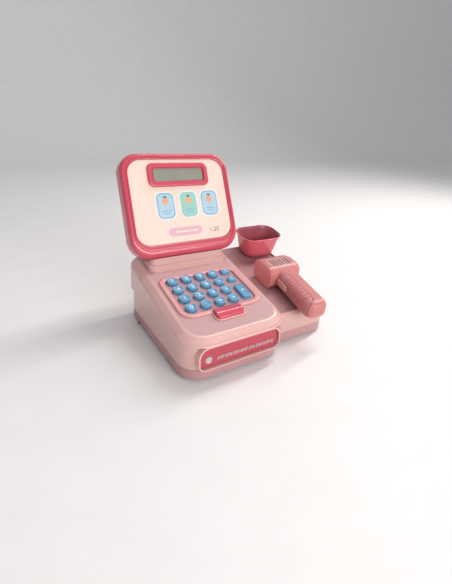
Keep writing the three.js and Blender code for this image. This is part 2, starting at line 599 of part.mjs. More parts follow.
// A wall of the tub as a stack of rounded rectangles: its outside, or its inside when inset.
function tubBody(inset, top) {
  const { baseHalfX, baseHalfY, rimHalfX, rimHalfY, height, radius, heel } = TUB;
  const levels = [...heel, [top - inset, 0]];
  const steps = levels.length - 1;
  const outline = roundedRect(-rimHalfX, rimHalfX, -rimHalfY, rimHalfY, radius);
  const options = { depth: steps, steps, bevelEnabled: false, curveSegments: 5 };
  const geometry = new THREE.ExtrudeGeometry(outline, options);
  const position = geometry.attributes.position;
  for (let index = 0; index < position.count; index += 1) {
    const [rise, tuck] = levels[Math.round(position.getZ(index))];
    const z = rise + inset;
    const halfX = THREE.MathUtils.lerp(baseHalfX, rimHalfX, z / height) - tuck - inset;
    const halfY = THREE.MathUtils.lerp(baseHalfY, rimHalfY, z / height) - tuck - inset;
    const x = position.getX(index) * halfX / rimHalfX;
    position.setXYZ(index, x, position.getY(index) * halfY / rimHalfY, z);
  }
  return solid(geometry);
}

function makeTub() {
  const { rimHalfX, rimHalfY, height, wall, radius, lip, lipHeight } = TUB;
  const rim = solid(extruded(roundedRect(-rimHalfX - lip, rimHalfX + lip, -rimHalfY - lip,
    rimHalfY + lip, radius + lip), height - lipHeight, height, 5));
  const tub = tubBody(0, height).add(rim).subtract(tubBody(wall, height + 5));
  addMesh(wingDeck, 'scale_tub', tub, TUB_RED).position.set(TUB.x, TUB.y, FIT);
}

// ---------------------------------------------------------------- scanner

function headBody(inset) {
  const { length, halfHeight, backRadius, edge } = HEAD;
  const plan = roundedRect(-30, length - inset, -halfHeight + inset, halfHeight - inset,
    backRadius - inset);
  const body = solid(pillow(plan, inset, SCANNER.thickness - inset, edge - inset, detail(inset)));
  return body.subtract(block(-100, inset > 0 ? -5 : 0, -100, 100, -100, 100));
}

// The handle runs up inside the head, where its round top end is hidden.
function handleBody(inset) {
  const { x, halfWidth, length, rake, edge, thickness, radius } = HANDLE;
  const half = halfWidth - inset;
  const plan = roundedRect(-half, half, -length + inset, halfWidth - inset, radius - inset);
  const z0 = (SCANNER.thickness - thickness) / 2 + inset;
  const body = pillow(plan, z0, SCANNER.thickness - z0, edge - inset, detail(inset));
  return solid(body.rotateZ(rake).translate(x, 0, 0));
}

// The outline of the soft grip, which wraps the handle's inner side, through the whole thickness.
function gripColumn(grow, z0, z1) {
  const { x0, x1, y0, y1, radii } = GRIP;
  const outline = roundedRect(x0 - grow, x1 + grow, y0 - grow, y1 + grow,
    radii.map((radius) => radius + grow));
  return solid(extruded(outline, z0, z1, 4).rotateZ(HANDLE.rake).translate(HANDLE.x, 0, 0));
}

function makeScanner() {
  const middle = SCANNER.thickness / 2;
  const outer = headBody(0).add(handleBody(0))
    .subtract(block(-100, PANE + FIT, -100, 100, -100, 100));
  const inner = headBody(2.4).add(handleBody(4));
  const pocket = gripColumn(0.3, -5, SCANNER.thickness + 5).subtract(handleBody(GRIP.depth));

  const { high, low, thickness, proud } = TRIGGER;
  const handleLeft = -HANDLE.halfWidth;
  const inHandle = (manifold) => solid(
    geometryOf(manifold).rotateZ(HANDLE.rake).translate(HANDLE.x, 0, 0));
  const slot = inHandle(block(handleLeft - 5, handleLeft + 6, low - FIT, high + FIT,
    middle - thickness / 2 - FIT, middle + thickness / 2 + FIT));
  const hollow = outer.subtract(inner).subtract(pocket).subtract(slot);

  addMesh(scanner, 'scanner_lower_shell',
    hollow.subtract(block(-200, 200, -200, 200, middle - FIT / 2, 200)), SALMON);
  addMesh(scanner, 'scanner_upper_shell',
    hollow.subtract(block(-200, 200, -200, 200, -200, middle + FIT / 2)), SALMON);

  const pane = headBody(0).intersect(block(-1, PANE, -50, 50, -50, 100));
  addMesh(scanner, 'scanner_window', pane, WINDOW);

  const lever = inHandle(block(handleLeft - proud, handleLeft + 5.2, low, high,
    middle - thickness / 2, middle + thickness / 2)
    .add(block(handleLeft + 4.7, handleLeft + 5.6, low - 1.6, high + 1.6,
      middle - thickness / 2 - 0.7, middle + thickness / 2 + 0.7)));
  addMesh(scanner, 'scanner_trigger', lever, BLUSH);

  const springLength = 2 * HANDLE.halfWidth - 4 - 5.6 - 0.6;
  const spring = coilSpring(2.6, 0.4, 5, 0, springLength);
  spring.rotateY(Math.PI / 2).translate(handleLeft + 5.9, (low + high) / 2, middle);
  addMesh(scanner, 'trigger_spring', spring.rotateZ(HANDLE.rake).translate(HANDLE.x, 0, 0), STEEL);

  let pad = gripColumn(0, -5, SCANNER.thickness + 5).intersect(handleBody(0))
    .subtract(handleBody(GRIP.depth - 0.3)).subtract(slot);
  const valley = handleBody(GRIP.ridgeDepth);
  for (let ridge = 0; ridge < GRIP.ridges; ridge += 1) {
    const y = GRIP.y0 + 11 + ridge * GRIP.ridgeStep;
    const groove = inHandle(block(GRIP.x0, GRIP.x1 - 2.5, y, y + GRIP.ridgeWidth, -5, 40));
    pad = pad.subtract(groove.subtract(valley));
  }
  addMesh(scanner, 'scanner_grip_lower',
    pad.subtract(block(-200, 200, -200, 200, middle - FIT / 2, 200)), DUSKY);
  addMesh(scanner, 'scanner_grip_upper',
    pad.subtract(block(-200, 200, -200, 200, -200, middle + FIT / 2)), DUSKY);

  const board = block(8, 46, -15, 15, middle - 0.8, middle + 0.8)
    .add(block(5, 9, -5, 5, middle - 3, middle + 3));
  addMesh(scanner, 'scanner_board', board, BOARD);
}

// ---------------------------------------------------------------- assembly

makeUpperCase();
makeBasePan();
makeSpeaker();
makeFeetAndScrews();
makeKeypadPanel();
makeKeys();
makeKeyElectronics();
makeReleaseBar();
makeDrawer();
makeSidePlatform();
makeDisplay();
makeTub();
makeScanner();

register.updateMatrixWorld(true);
const bounds = new THREE.Box3().setFromObject(register, true);
const centre = bounds.getCenter(new THREE.Vector3());
register.position.set(-centre.x, -centre.y, -bounds.min.z);

export default register;
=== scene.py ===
"""Looks for the toy cash register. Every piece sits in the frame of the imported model.

Sizes in this file are millimetres in the working frame of the part: x = 0 is the middle column of
keys, y = 0 the front row of keys and z = 0 the floor. placed() takes them to the row frame.
"""

import json
import math
from contextlib import contextmanager

import bmesh
import bpy
from mathutils import Matrix, Vector


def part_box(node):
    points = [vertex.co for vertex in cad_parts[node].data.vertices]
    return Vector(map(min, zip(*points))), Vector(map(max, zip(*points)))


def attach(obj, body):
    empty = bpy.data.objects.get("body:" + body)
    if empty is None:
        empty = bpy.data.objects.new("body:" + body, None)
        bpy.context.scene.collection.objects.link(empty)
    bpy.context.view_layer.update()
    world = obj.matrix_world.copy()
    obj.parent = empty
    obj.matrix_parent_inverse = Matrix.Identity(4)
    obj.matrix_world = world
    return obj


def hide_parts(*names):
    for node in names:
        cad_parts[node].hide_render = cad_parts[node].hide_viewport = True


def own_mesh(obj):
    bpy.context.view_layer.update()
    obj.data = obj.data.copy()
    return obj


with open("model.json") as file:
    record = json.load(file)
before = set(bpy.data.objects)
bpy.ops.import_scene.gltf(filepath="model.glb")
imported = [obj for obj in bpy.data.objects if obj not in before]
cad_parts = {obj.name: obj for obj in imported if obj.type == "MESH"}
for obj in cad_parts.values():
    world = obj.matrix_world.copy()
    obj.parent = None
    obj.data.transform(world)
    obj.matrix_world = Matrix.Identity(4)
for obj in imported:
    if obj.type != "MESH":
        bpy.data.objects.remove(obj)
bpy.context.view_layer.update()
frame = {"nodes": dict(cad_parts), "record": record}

# ---------------------------------------------------------------- driving dimensions

FIT = 0.4
WALL = 2.5
FAR = 300                             # past every side of the part
TILT = math.radians(10.4)
SLOPE = math.tan(TILT)
DECK_Z = 64.4
SHELL_BOTTOM = 16.0

# A plan's front and back are its low and high edges where it stands up, as the display does.
CASE = dict(half_width=69, front=-58, back=142, radii=(32, 32, 24, 24))
LIP = dict(z=46.6, fade_from=-36, fade_length=14)
SKIRT = dict(half_width=66, front=-51, back=139, radii=(26, 26, 21, 21))
PLINTH = dict(half_width=53, front=85, back=128, radii=8, step_out=2, step_height=9)

PITCH = 19
KEY = dict(radius=6.75, top=3.8, flange=1.1, flange_height=1.2)
BLOCK_KEY = dict(half_width=6.25, radii=3.4)
UNDER_DECK = -WALL - FIT
KEYPAD_HOLE = dict(half_width=51.5, front=-12.5, back=64.5, radii=12)
BEZEL = dict(half_width=55, front=-17, back=68, radii=(17, 17, 13, 13), height=2.4, rim=6,
             floor=-0.8)
BAR_HOLE = dict(half_width=19.4, front=-32.4, back=-5, radii=5)
BAR_PLUG = dict(BAR_HOLE, back=-9.6)
BAR = dict(half_width=17.5, front=-30.5, back=-12, radii=4.5, rim=2.6, spring_seat=-12.7)

DRAWER = dict(half_width=52, front=19, back=43.6, radii=(7, 7, 10, 10), y=-53.5, face_depth=4.2)
MOUTH = dict(clear=0.5, rim=1.9, front=56.6, rim_back=42, hole_back=38)
TRAY = dict(half_width=48, bottom=20.2, top=41.6, back=92, wall=2, coin_depth=40)
TRIM = dict(ring_x=-41, ring_z=28, left=-31.0, right=45, bottom=25.6, lean=1.1)

PLATFORM = dict(x0=69.4, x1=159, y0=-32, y1=146, radii=(9, 26, 15, 8), edge=6, floor=45.5,
                rim_height=3, rim_width=3)

SCREEN = dict(y=82, z=100, lean=math.radians(24.3), half_width=77.4, front=0, back=139.85,
              radii=(28, 28, 24, 24), frame_depth=12, back_depth=15, edge=9)
FACE = dict(half_width=68.3, front=17, back=131, recess=1.5, thickness=2, radii=19)
LCD = dict(half_width=36, bottom=100.5, top=118.5, band=7.5, rise=2.6)
TONGUE = dict(half_width=28, low=-13, high=8, back=-24, front=-14, wall=2)
CARD = dict(front=48.5, back=86.6, layer=0.12, root_y=73, line_y=60)
CAPSULE = (-26, 22.5, 25.5, 37, 5.6)

TUB = dict(x=133, y=125.5, base=(25, 19.5), rim=(34, 23.5), height=35.5, wall=1.8, radius=17,
           lip=1.6, lip_height=2.2)

SCANNER = dict(x=90, y=44, tip=math.radians(-1.5), thickness=32)
MIDDLE = SCANNER["thickness"] / 2
HEAD = dict(x0=-30, x1=60, y0=-22.5, y1=22.5, radii=17, edge=13)
PANE = 1.8
HANDLE = dict(x=30, rake=math.radians(-6), x0=-16, x1=16, y0=-105.8, y1=16, radii=12, edge=9,
              thickness=25)
GRIP = dict(x0=-20, x1=-3, y0=-100, y1=-28, radii=(3, 13, 9, 3), depth=2, ridges=8, step=6.4,
            ridge_width=2.6, ridge_depth=0.7)
TRIGGER = dict(high=-25, low=-49, thickness=8, proud=2, spring_end=11.7)
LABEL = dict(x0=8.5, x1=46.5, y0=-13, y1=8.5, radii=5, line=1.3)

# ---------------------------------------------------------------- frames


def turn(angle, axis):
    return Matrix.Rotation(angle, 4, axis)


def move(x=0, y=0, z=0):
    return Matrix.Translation((x, y, z))


FOOT_AT = Vector((-44, -36, 0))       # the front left foot in the working frame
foot_low, foot_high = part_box("foot_front_left")
foot_centre = (foot_low + foot_high) / 2
SHIFT = Vector((foot_centre.x, foot_centre.y, foot_low.z)) - FOOT_AT / 1000
TO_ROW = Matrix.Translation(SHIFT) @ Matrix.Scale(0.001, 4)

REGISTER = Matrix.Identity(4)
FACING = turn(math.pi / 2, "X")       # for what is drawn on the drawer's front: z runs forwards
DECK = move(z=DECK_Z) @ turn(TILT, "X")
DECK_UP = (DECK.to_3x3() @ Vector((0, 0, 1))).normalized()
FLOOR = move(z=PLATFORM["floor"]) @ turn(TILT, "X")
UPRIGHT = move(y=SCREEN["y"], z=SCREEN["z"]) @ turn(math.pi / 2 - SCREEN["lean"], "X")
GUN = FLOOR @ move(SCANNER["x"], SCANNER["y"], FIT) @ turn(SCANNER["tip"], "X")
RAKED = move(HANDLE["x"]) @ turn(HANDLE["rake"], "Z")
SHEAR = Matrix(((1, 0, 0, 0), (0, 1, 0, 0), (0, SLOPE, 1, 0), (0, 0, 0, 1)))

# ---------------------------------------------------------------- mesh tools


def pick(sizes, *names):
    return [sizes[name] for name in names]


def four(radii):
    return radii if hasattr(radii, "__len__") else (radii,) * 4


def rounded(x0, x1, y0, y1, radii, arc=14):
    """A rectangle with round corners, anticlockwise. radii run front left, front right, back."""
    fl, fr, br, bl = four(radii)
    corners = ((x0 + fl, y0 + fl, fl, 180), (x1 - fr, y0 + fr, fr, 270),
               (x1 - br, y1 - br, br, 0), (x0 + bl, y1 - bl, bl, 90))
    points = []
    for cx, cy, radius, start in corners:
        for step in range(arc + 1):
            angle = math.radians(start + 90 * step / arc)
            points.append((cx + radius * math.cos(angle), cy + radius * math.sin(angle)))
    return points


def inset_plan(x0, x1, y0, y1, radii, arc=14, least=0.02):
    """rounded() as a plan: a function of how far its sides move inwards."""
    def plan(inset):
        return rounded(x0 + inset, x1 - inset, y0 + inset, y1 - inset,
                       [max(radius - inset, least) for radius in four(radii)], arc)

    return plan


def plan_of(sizes, arc=14, least=0.02):
    """The plan of a part from its four sides."""
    return inset_plan(*pick(sizes, "x0", "x1", "y0", "y1", "radii"), arc, least)


def centred(sizes, arc=14, least=0.02):
    """The plan of a part that is the same on both sides of x = 0."""
    half = sizes["half_width"]
    return inset_plan(-half, half, sizes["front"], sizes["back"], sizes["radii"], arc, least)


def quarter(steps):
    """The sine and cosine of each step of a quarter turn."""
    angles = [math.pi / 2 * step / steps for step in range(steps + 1)]
    return [(math.sin(angle), math.cos(angle)) for angle in angles]


def circle(radius, sides, x=0, y=0):
    angles = [2 * math.pi * side / sides for side in range(sides)]
    return [(x + radius * math.cos(a), y + radius * math.sin(a)) for a in angles]


def linked(name, data):
    """A new object in the scene."""
    made = bpy.data.objects.new(name, data)
    bpy.context.scene.collection.objects.link(made)
    return made


def solid(name, points, faces):
    mesh = bpy.data.meshes.new(name)
    mesh.from_pydata(points, [], faces)
    return linked(name, mesh)


def loft(name, rings, closed=False):
    """A skin through rings of (x, y, z) points, with flat ends unless its last ring meets its first."""
    count = len(rings[0])
    points = [point for ring in rings for point in ring]
    faces = []
    levels = len(rings)
    for level in range(levels if closed else levels - 1):
        low, high = level * count, (level + 1) % levels * count
        for side in range(count):
            after = (side + 1) % count
            faces.append((low + side, low + after, high + after, high + side))
    if not closed:
        faces.append(tuple(reversed(range(count))))
        faces.append(tuple(range((levels - 1) * count, levels * count)))
    return solid(name, points, faces)


def at_height(outline, z):
    return [(x, y, z) for x, y in outline]


def slab(name, plan, z0, z1, top=0.0, bottom=0.0, steps=7):
    """An upright slab. plan(inset) is its outline, and top and bottom are the radii of its edges."""
    low = [(bottom * (1 - sine), z0 + bottom * (1 - cosine)) for sine, cosine in quarter(steps)]
    high = [(top * (1 - cosine), z1 - top * (1 - sine)) for sine, cosine in quarter(steps)]
    levels = (low if bottom else [(0, z0)]) + (high if top else [(0, z1)])
    return loft(name, [at_height(plan(inset), z) for inset, z in levels])


def prism(name, outline, z0, z1):
    return loft(name, [at_height(outline, z0), at_height(outline, z1)])


def box(name, x0, x1, y0, y1, z0, z1):
    return prism(name, [(x0, y0), (x1, y0), (x1, y1), (x0, y1)], z0, z1)


def space(x0=-FAR, x1=FAR, y0=-FAR, y1=FAR, z0=-FAR, z1=FAR):
    """Everything on one side of a plane, to cut with."""
    return box("space", x0, x1, y0, y1, z0, z1)


def lathe(name, profile, sides=48):
    """A [radius, height] profile turned round Z, from a flat bottom to a flat top."""
    return loft(name, [at_height(circle(radius, sides), z) for radius, z in profile])


def shaped(piece, matrix):
    piece.data.transform(matrix)
    return piece


def evaluated(piece):
    """A new mesh with a piece's modifiers, or its curves, worked out."""
    bpy.context.view_layer.update()
    depsgraph = bpy.context.evaluated_depsgraph_get()
    return bpy.data.meshes.new_from_object(piece.evaluated_get(depsgraph))


def combine(piece, operation, *others):
    for other in others:
        modifier = piece.modifiers.new(operation.lower(), "BOOLEAN")
        modifier.operation = operation
        modifier.solver = "MANIFOLD"
        modifier.object = other
        made = evaluated(piece)
        piece.modifiers.clear()
        spent = (piece.data, other.data)
        piece.data = made
        bpy.data.objects.remove(other)
        for mesh in spent:
            bpy.data.meshes.remove(mesh)
    return piece


def cut(piece, *others):
    return combine(piece, "DIFFERENCE", *others)


def join(piece, *others):
    return combine(piece, "UNION", *others)


def meet(piece, *others):
    return combine(piece, "INTERSECT", *others)


@contextmanager
def reworked(mesh):
    """A mesh opened as a bmesh, and written back at the end."""
    work = bmesh.new()
    work.from_mesh(mesh)
    yield work
    work.to_mesh(mesh)
    work.free()


def softened(piece, edge, angle=32):
    """Smooth faces, and every sharp edge rounded as a mould rounds it."""
    with reworked(piece.data) as work:
        bmesh.ops.remove_doubles(work, verts=work.verts, dist=1e-6)
        bmesh.ops.dissolve_degenerate(work, edges=work.edges, dist=1e-7)
    piece.data.shade_smooth()
    piece.data.set_sharp_from_angle(angle=math.radians(angle))
    if edge:
        bevel = piece.modifiers.new("edges", "BEVEL")
        bevel.width = edge / 1000
        bevel.segments = 2
        bevel.limit_method = "ANGLE"
        bevel.angle_limit = math.radians(angle)
        bevel.harden_normals = True
    weigh = piece.modifiers.new("normals", "WEIGHTED_NORMAL")
    weigh.keep_sharp = True
    return piece


def two_materials(piece, first, second):
    piece.data.materials.clear()
    piece.data.materials.append(first)
    piece.data.materials.append(second)


def placed(piece, name, body, material, at=REGISTER, nodes=(), edge=0.35):
    """Takes a finished mesh to the row frame, gives it its material and ties it to its body."""
    piece.name = name
    piece.data.name = name
    shaped(piece, TO_ROW @ at)
    if len(piece.data.materials) < 2:      # a piece that was cut holds an empty slot
        piece.data.materials.clear()
        piece.data.materials.append(material)
    softened(piece, edge)
    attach(piece, body)
    if nodes:
        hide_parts(*nodes)


def paint(piece, first, second, test):
    """Gives second to the faces whose centre and normal pass the test, and first to the rest."""
    two_materials(piece, first, second)
    for face in piece.data.polygons:
        face.material_index = int(test(face.center, face.normal))


def on_slope(height, slack):
    """A test for paint(): faces that slope as the deck does, near a height at y = 0."""
    def test(centre, normal):
        level = centre.z - SLOPE * centre.y
        return normal.dot(DECK_UP) > 0.9995 and abs(level - height) < slack

    return test

# ---------------------------------------------------------------- materials


def feed(tree, node, **inputs):
    """Sets a node's inputs, and links those that are given another node's output."""
    for name, value in inputs.items():
        socket = node.inputs[name.replace("_", " ")]
        if isinstance(value, bpy.types.NodeSocket):
            tree.links.new(value, socket)
        else:
            socket.default_value = value
    return node


def added(tree, kind, **inputs):
    return feed(tree, tree.nodes.new("ShaderNode" + kind), **inputs)


def noise(tree, where, scale, detail):
    return added(tree, "TexNoise", Vector=where, Scale=scale, Detail=detail).outputs["Fac"]


def between(tree, factor, low, high):
    """Spreads the middle of a noise value's range over low..high."""
    return added(tree, "MapRange", Value=factor, From_Min=0.35, From_Max=0.65, To_Min=low,
                 To_Max=high).outputs["Result"]


def tinted(tree, factor, light, dark):
    ramp = added(tree, "ValToRGB", Fac=factor)
    for element, place, colour in zip(ramp.color_ramp.elements, (0.32, 0.68), (dark, light)):
        element.position = place
        element.color = (*colour, 1)
    return ramp.outputs["Color"]


def moulded(name, light, dark, rough, grain=0.02, grain_scale=2600, wave=0.0, coat=0.0,
            glow=0.0, radius=(0.004, 0.002, 0.0015), metal=0.0):
    """Moulded plastic: colour that drifts a little, fine grain, and roughness that varies."""
    material = bpy.data.materials.new(name)
    material.use_nodes = True
    tree = material.node_tree
    where = tree.nodes.new("ShaderNodeTexCoord").outputs["Object"]
    bump = added(tree, "Bump", Strength=grain, Distance=0.0002,
                 Height=noise(tree, where, grain_scale, 2))
    if wave:
        swell = added(tree, "Bump", Strength=wave, Distance=0.002,
                      Height=noise(tree, where, 45, 1))
        feed(tree, bump, Normal=swell.outputs["Normal"])
    feed(tree, tree.nodes["Principled BSDF"], Metallic=metal, Normal=bump.outputs["Normal"],
         Base_Color=tinted(tree, noise(tree, where, 22, 3), light, dark),
         Roughness=between(tree, noise(tree, where, 90, 4), *rough),
         Coat_Weight=coat, Coat_Roughness=0.2, Subsurface_Weight=glow,
         Subsurface_Radius=radius, Subsurface_Scale=1.0)
    return material


def blush_plastic():
    return moulded("blush_plastic", (0.71, 0.43, 0.40), (0.69, 0.41, 0.38), (0.29, 0.37),
                   grain=0.05, coat=0.5)


def shaded_platform_plastic():
    """The same pink as the case, darkened as painted shade over the platform."""
    return moulded("shaded_platform_plastic", (0.62, 0.37, 0.345), (0.60, 0.355, 0.33), (0.29, 0.37),
                   grain=0.05, coat=0.3)


def shaded_deck_satin():
    """The same plastic, textured and semi-matt on the deck; its greyer, darker tone there is painted
    shade.
    """
    return moulded("shaded_deck_satin", (0.55, 0.335, 0.335), (0.525, 0.315, 0.315), (0.42, 0.5),
                   grain=0.25, grain_scale=1700)


def salmon_plastic():
    return moulded("salmon_plastic", (0.72, 0.34, 0.33), (0.70, 0.325, 0.315), (0.29, 0.36),
                   grain=0.03, coat=0.5)


# Painted shade: the keypad recess's floor, darker and greyer than the bezel.
def shaded_recess_plastic():
    return moulded("shaded_recess_plastic", (0.53, 0.30, 0.31), (0.50, 0.275, 0.29), (0.42, 0.55),
                   grain=0.2, grain_scale=1500)


def mauve_plastic():
    return moulded("mauve_plastic", (0.50, 0.27, 0.28), (0.46, 0.24, 0.25), (0.45, 0.6),
                   grain=0.2, grain_scale=1500)


def coral_plastic():
    return moulded("coral_plastic", (0.60, 0.068, 0.112), (0.58, 0.064, 0.106), (0.2, 0.26),
                   coat=0.6)


def crimson_plastic():
    return moulded("crimson_plastic", (0.47, 0.045, 0.075), (0.44, 0.04, 0.07), (0.29, 0.36),
                   grain=0.03, coat=0.4)


def tub_plastic():
    """Thin glossy red, a little see-through."""
    return moulded("tub_plastic", (0.68, 0.12, 0.16), (0.65, 0.113, 0.152), (0.14, 0.22),
                   wave=0.01, coat=0.5, glow=0.1, radius=(0.008, 0.002, 0.002))


def tub_inside_shade():
    """The tub's red where it only sees its own walls, darker as painted shade, and less shiny."""
    return moulded("tub_inside_shade", (0.40, 0.10, 0.125), (0.37, 0.09, 0.115), (0.3, 0.42),
                   coat=0.1)


def shaded_platform_floor():
    """The platform's recessed floor, with a coarse mould texture; its dark colour is painted shade."""
    return moulded("shaded_platform_floor", (0.46, 0.245, 0.255), (0.43, 0.225, 0.235), (0.4, 0.5),
                   grain=0.3, grain_scale=1500, coat=0.1)


def sky_plastic():
    return moulded("sky_plastic", (0.12, 0.35, 0.56), (0.11, 0.33, 0.53), (0.29, 0.36),
                   grain=0.05, coat=0.2)


def legend_ink():
    return moulded("legend_ink", (0.66, 0.78, 0.86), (0.62, 0.75, 0.84), (0.4, 0.5), grain=0.1)


def cream_plastic():
    return moulded("cream_plastic", (0.83, 0.645, 0.56), (0.80, 0.62, 0.535), (0.35, 0.45),
                   grain=0.08, glow=0.05)


def scanner_plastic():
    return moulded("scanner_plastic", (0.57, 0.20, 0.195), (0.55, 0.19, 0.185), (0.34, 0.42),
                   grain=0.03, coat=0.15)


def dusky_rubber():
    return moulded("dusky_rubber", (0.56, 0.2, 0.21), (0.53, 0.185, 0.195), (0.38, 0.5),
                   grain=0.2, grain_scale=1800)


def smoked_pane():
    return moulded("smoked_pane", (0.78, 0.26, 0.26), (0.75, 0.245, 0.245), (0.12, 0.2),
                   coat=0.5, glow=0.1)


def trigger_plastic():
    return moulded("trigger_plastic", (0.64, 0.32, 0.29), (0.61, 0.30, 0.27), (0.3, 0.38),
                   grain=0.03, coat=0.2)


def lcd_glass():
    """Grey-green display glass."""
    return moulded("lcd_glass", (0.28, 0.275, 0.235), (0.24, 0.24, 0.205), (0.08, 0.14),
                   grain=0.05, grain_scale=1200, coat=0.8)


def black_rubber():
    return moulded("black_rubber", (0.035, 0.035, 0.038), (0.025, 0.025, 0.028), (0.7, 0.85),
                   grain=0.5, grain_scale=1200)


def silicone():
    return moulded("silicone_rubber", (0.62, 0.59, 0.53), (0.57, 0.54, 0.49), (0.55, 0.7),
                   grain=0.3, grain_scale=1500, glow=0.2)


def board_laminate():
    return moulded("board_laminate", (0.02, 0.15, 0.06), (0.015, 0.11, 0.045), (0.3, 0.5),
                   grain=0.3, grain_scale=900, coat=0.4)


def speaker_black():
    return moulded("speaker_black", (0.022, 0.022, 0.024), (0.014, 0.014, 0.016), (0.45, 0.6),
                   grain=0.4, grain_scale=1300)


def spring_steel():
    return moulded("spring_steel", (0.56, 0.57, 0.59), (0.48, 0.49, 0.52), (0.29, 0.4),
                   grain=0.08, grain_scale=1800, metal=1.0)


def silver_print():
    return moulded("silver_print", (0.62, 0.60, 0.60), (0.5, 0.47, 0.48), (0.3, 0.42),
                   grain=0.2, grain_scale=1500, metal=0.7)


def card_ink(name, colour):
    darker = tuple(channel * 0.92 for channel in colour)
    return moulded(name, colour, darker, (0.3, 0.42), grain=0.08, coat=0.2)

# ---------------------------------------------------------------- case


case_plan = centred(CASE, 20)
skirt_plan = centred(SKIRT, 16)
plinth_plan = centred(PLINTH, 10)

# How the hood's top edge turns over: a nearly flat band between two small rounds.
HOOD_EDGE = ((0, 9.6), (0.12, 8.7), (0.45, 7.7), (1.1, 6.6), (2.4, 5.2), (4.0, 3.7), (5.4, 2.4),
             (6.5, 1.45), (7.2, 0.9), (7.9, 0.5), (8.7, 0.2), (9.5, 0.05), (10.4, 0))


def hood(inset):
    top = DECK_Z - inset
    rings = [at_height(case_plan(inset), -60)]
    rings += [at_height(case_plan(inset + more), top - drop) for more, drop in HOOD_EDGE]
    return cut(shaped(loft("hood", rings), SHEAR), space(z1=LIP["z"] + inset))


def bead(name, plan, section, height, weight):
    """A raised bead round a plan. section holds (out, up) pairs, height(y) is where it runs and
    weight(y) how far it stands out there."""
    rings = []
    for out, up in section:
        ring = []
        for (x, y), (far_x, far_y) in zip(plan(0), plan(-1)):
            share = out * weight(y) if out > 0 else out
            ring.append((x + (far_x - x) * share, y + (far_y - y) * share, height(y) + up))
        rings.append(ring)
    return loft(name, rings, closed=True)


def lip_bead():
    """Along the front of the hood's lower edge, fading out round the corners."""
    section = ((-1, 0.05), (0.3, 0.05), (0.75, 0.3), (0.95, 0.8), (0.8, 1.35), (0.4, 1.75),
               (0.02, 2.0), (-1, 2.0))
    return bead("lip", case_plan, section, lambda y: LIP["z"],
                lambda y: min(1, max(0.02, (LIP["fade_from"] - y) / LIP["fade_length"])))


def plinth_bead():
    """Round the top of the plinth, just under the display."""
    def under_screen(y):
        below = FIT / math.cos(SCREEN["lean"])
        return SCREEN["z"] - below - (y - SCREEN["y"]) * math.tan(SCREEN["lean"])

    section = ((-1, -2.4), (0.02, -2.4), (0.7, -2.0), (1.0, -1.3), (0.85, -0.6), (0.4, -0.15),
               (-1, -0.15))
    return bead("brow", plinth_plan, section, under_screen, lambda y: 1)


def plinth(inset):
    def wedge(grow, top):
        return shaped(prism("wedge", plinth_plan(inset - grow), DECK_Z - 8, top), SHEAR)

    step = wedge(PLINTH["step_out"], DECK_Z + PLINTH["step_height"] - inset)
    return cut(join(wedge(0, DECK_Z + 40), step), shaped(space(y0=-FIT - inset), UPRIGHT))


def make_case(glossy, satin):
    shell = join(hood(0), prism("skirt", skirt_plan(0), SHELL_BOTTOM, LIP["z"] + 2), plinth(0))
    cut(shell, hood(WALL), prism("skirt", skirt_plan(WALL), SHELL_BOTTOM - 5, LIP["z"] + 5),
        plinth(WALL))
    for hole in (KEYPAD_HOLE, BAR_HOLE):
        cut(shell, shaped(prism("hole", centred(hole)(0), -8, 6), DECK))
    reach = MOUTH["clear"] + MOUTH["rim"]
    rim = slab("rim", lambda inset: drawer_plan(inset - reach), MOUTH["rim_back"],
               MOUTH["front"], top=0.9, steps=4)
    join(shell, shaped(rim, FACING), lip_bead(), plinth_bead())
    mouth = prism("mouth", drawer_plan(-MOUTH["clear"]), MOUTH["hole_back"], MOUTH["front"] + 5)
    cut(shell, shaped(mouth, FACING))
    # The deck's up-facing faces get the darker deck material: painted shade.
    paint(shell, glossy, satin, on_slope(DECK_Z, 6))
    placed(shell, "case_shell", "case", glossy, nodes=["upper_case"], edge=0.7)

# ---------------------------------------------------------------- keypad


# Names and legends, row by row from the front.
ROUND_KEYS = tuple(zip("0 point equals divide 1 2 3 times 4 5 6 minus 7 8 9 plus".split(),
                       "0.=÷123×456-789+"))
# Name, row, length, legend and the legend's height.
BLOCK_KEYS = (("key_clear", 2, 9, "C", 5.0), ("key_percent", 3, 9, "%", 5.0),
              ("key_total", 0.5, 28, "=", 8.0))
# (flare, height) up the wall of the keypad's recess, which opens out at its top.
RECESS_SECTION = ((0, BEZEL["floor"]), (0, 1.2), (0.12, 1.55), (0.4, 1.9), (0.85, 2.15),
                  (1.45, 2.32), (2.2, 2.42), (2.2, 10))


def block_plan(length):
    return centred(dict(BLOCK_KEY, front=-length / 2, back=length / 2), 8, least=0.6)


def keypad_holes():
    holes = []
    for column in range(4):
        for row in range(4):
            ring = circle(KEY["radius"] + FIT + 0.3, 48, (column - 2) * PITCH, row * PITCH)
            holes.append(prism("hole", ring, -10, 10))
    for _, row, length, _, _ in BLOCK_KEYS:
        hole = prism("hole", block_plan(length)(-FIT), -10, 10)
        holes.append(shaped(hole, move(2 * PITCH, row * PITCH)))
    holes.append(prism("hole", centred(BAR, 8)(-FIT), -10, 10))
    return holes


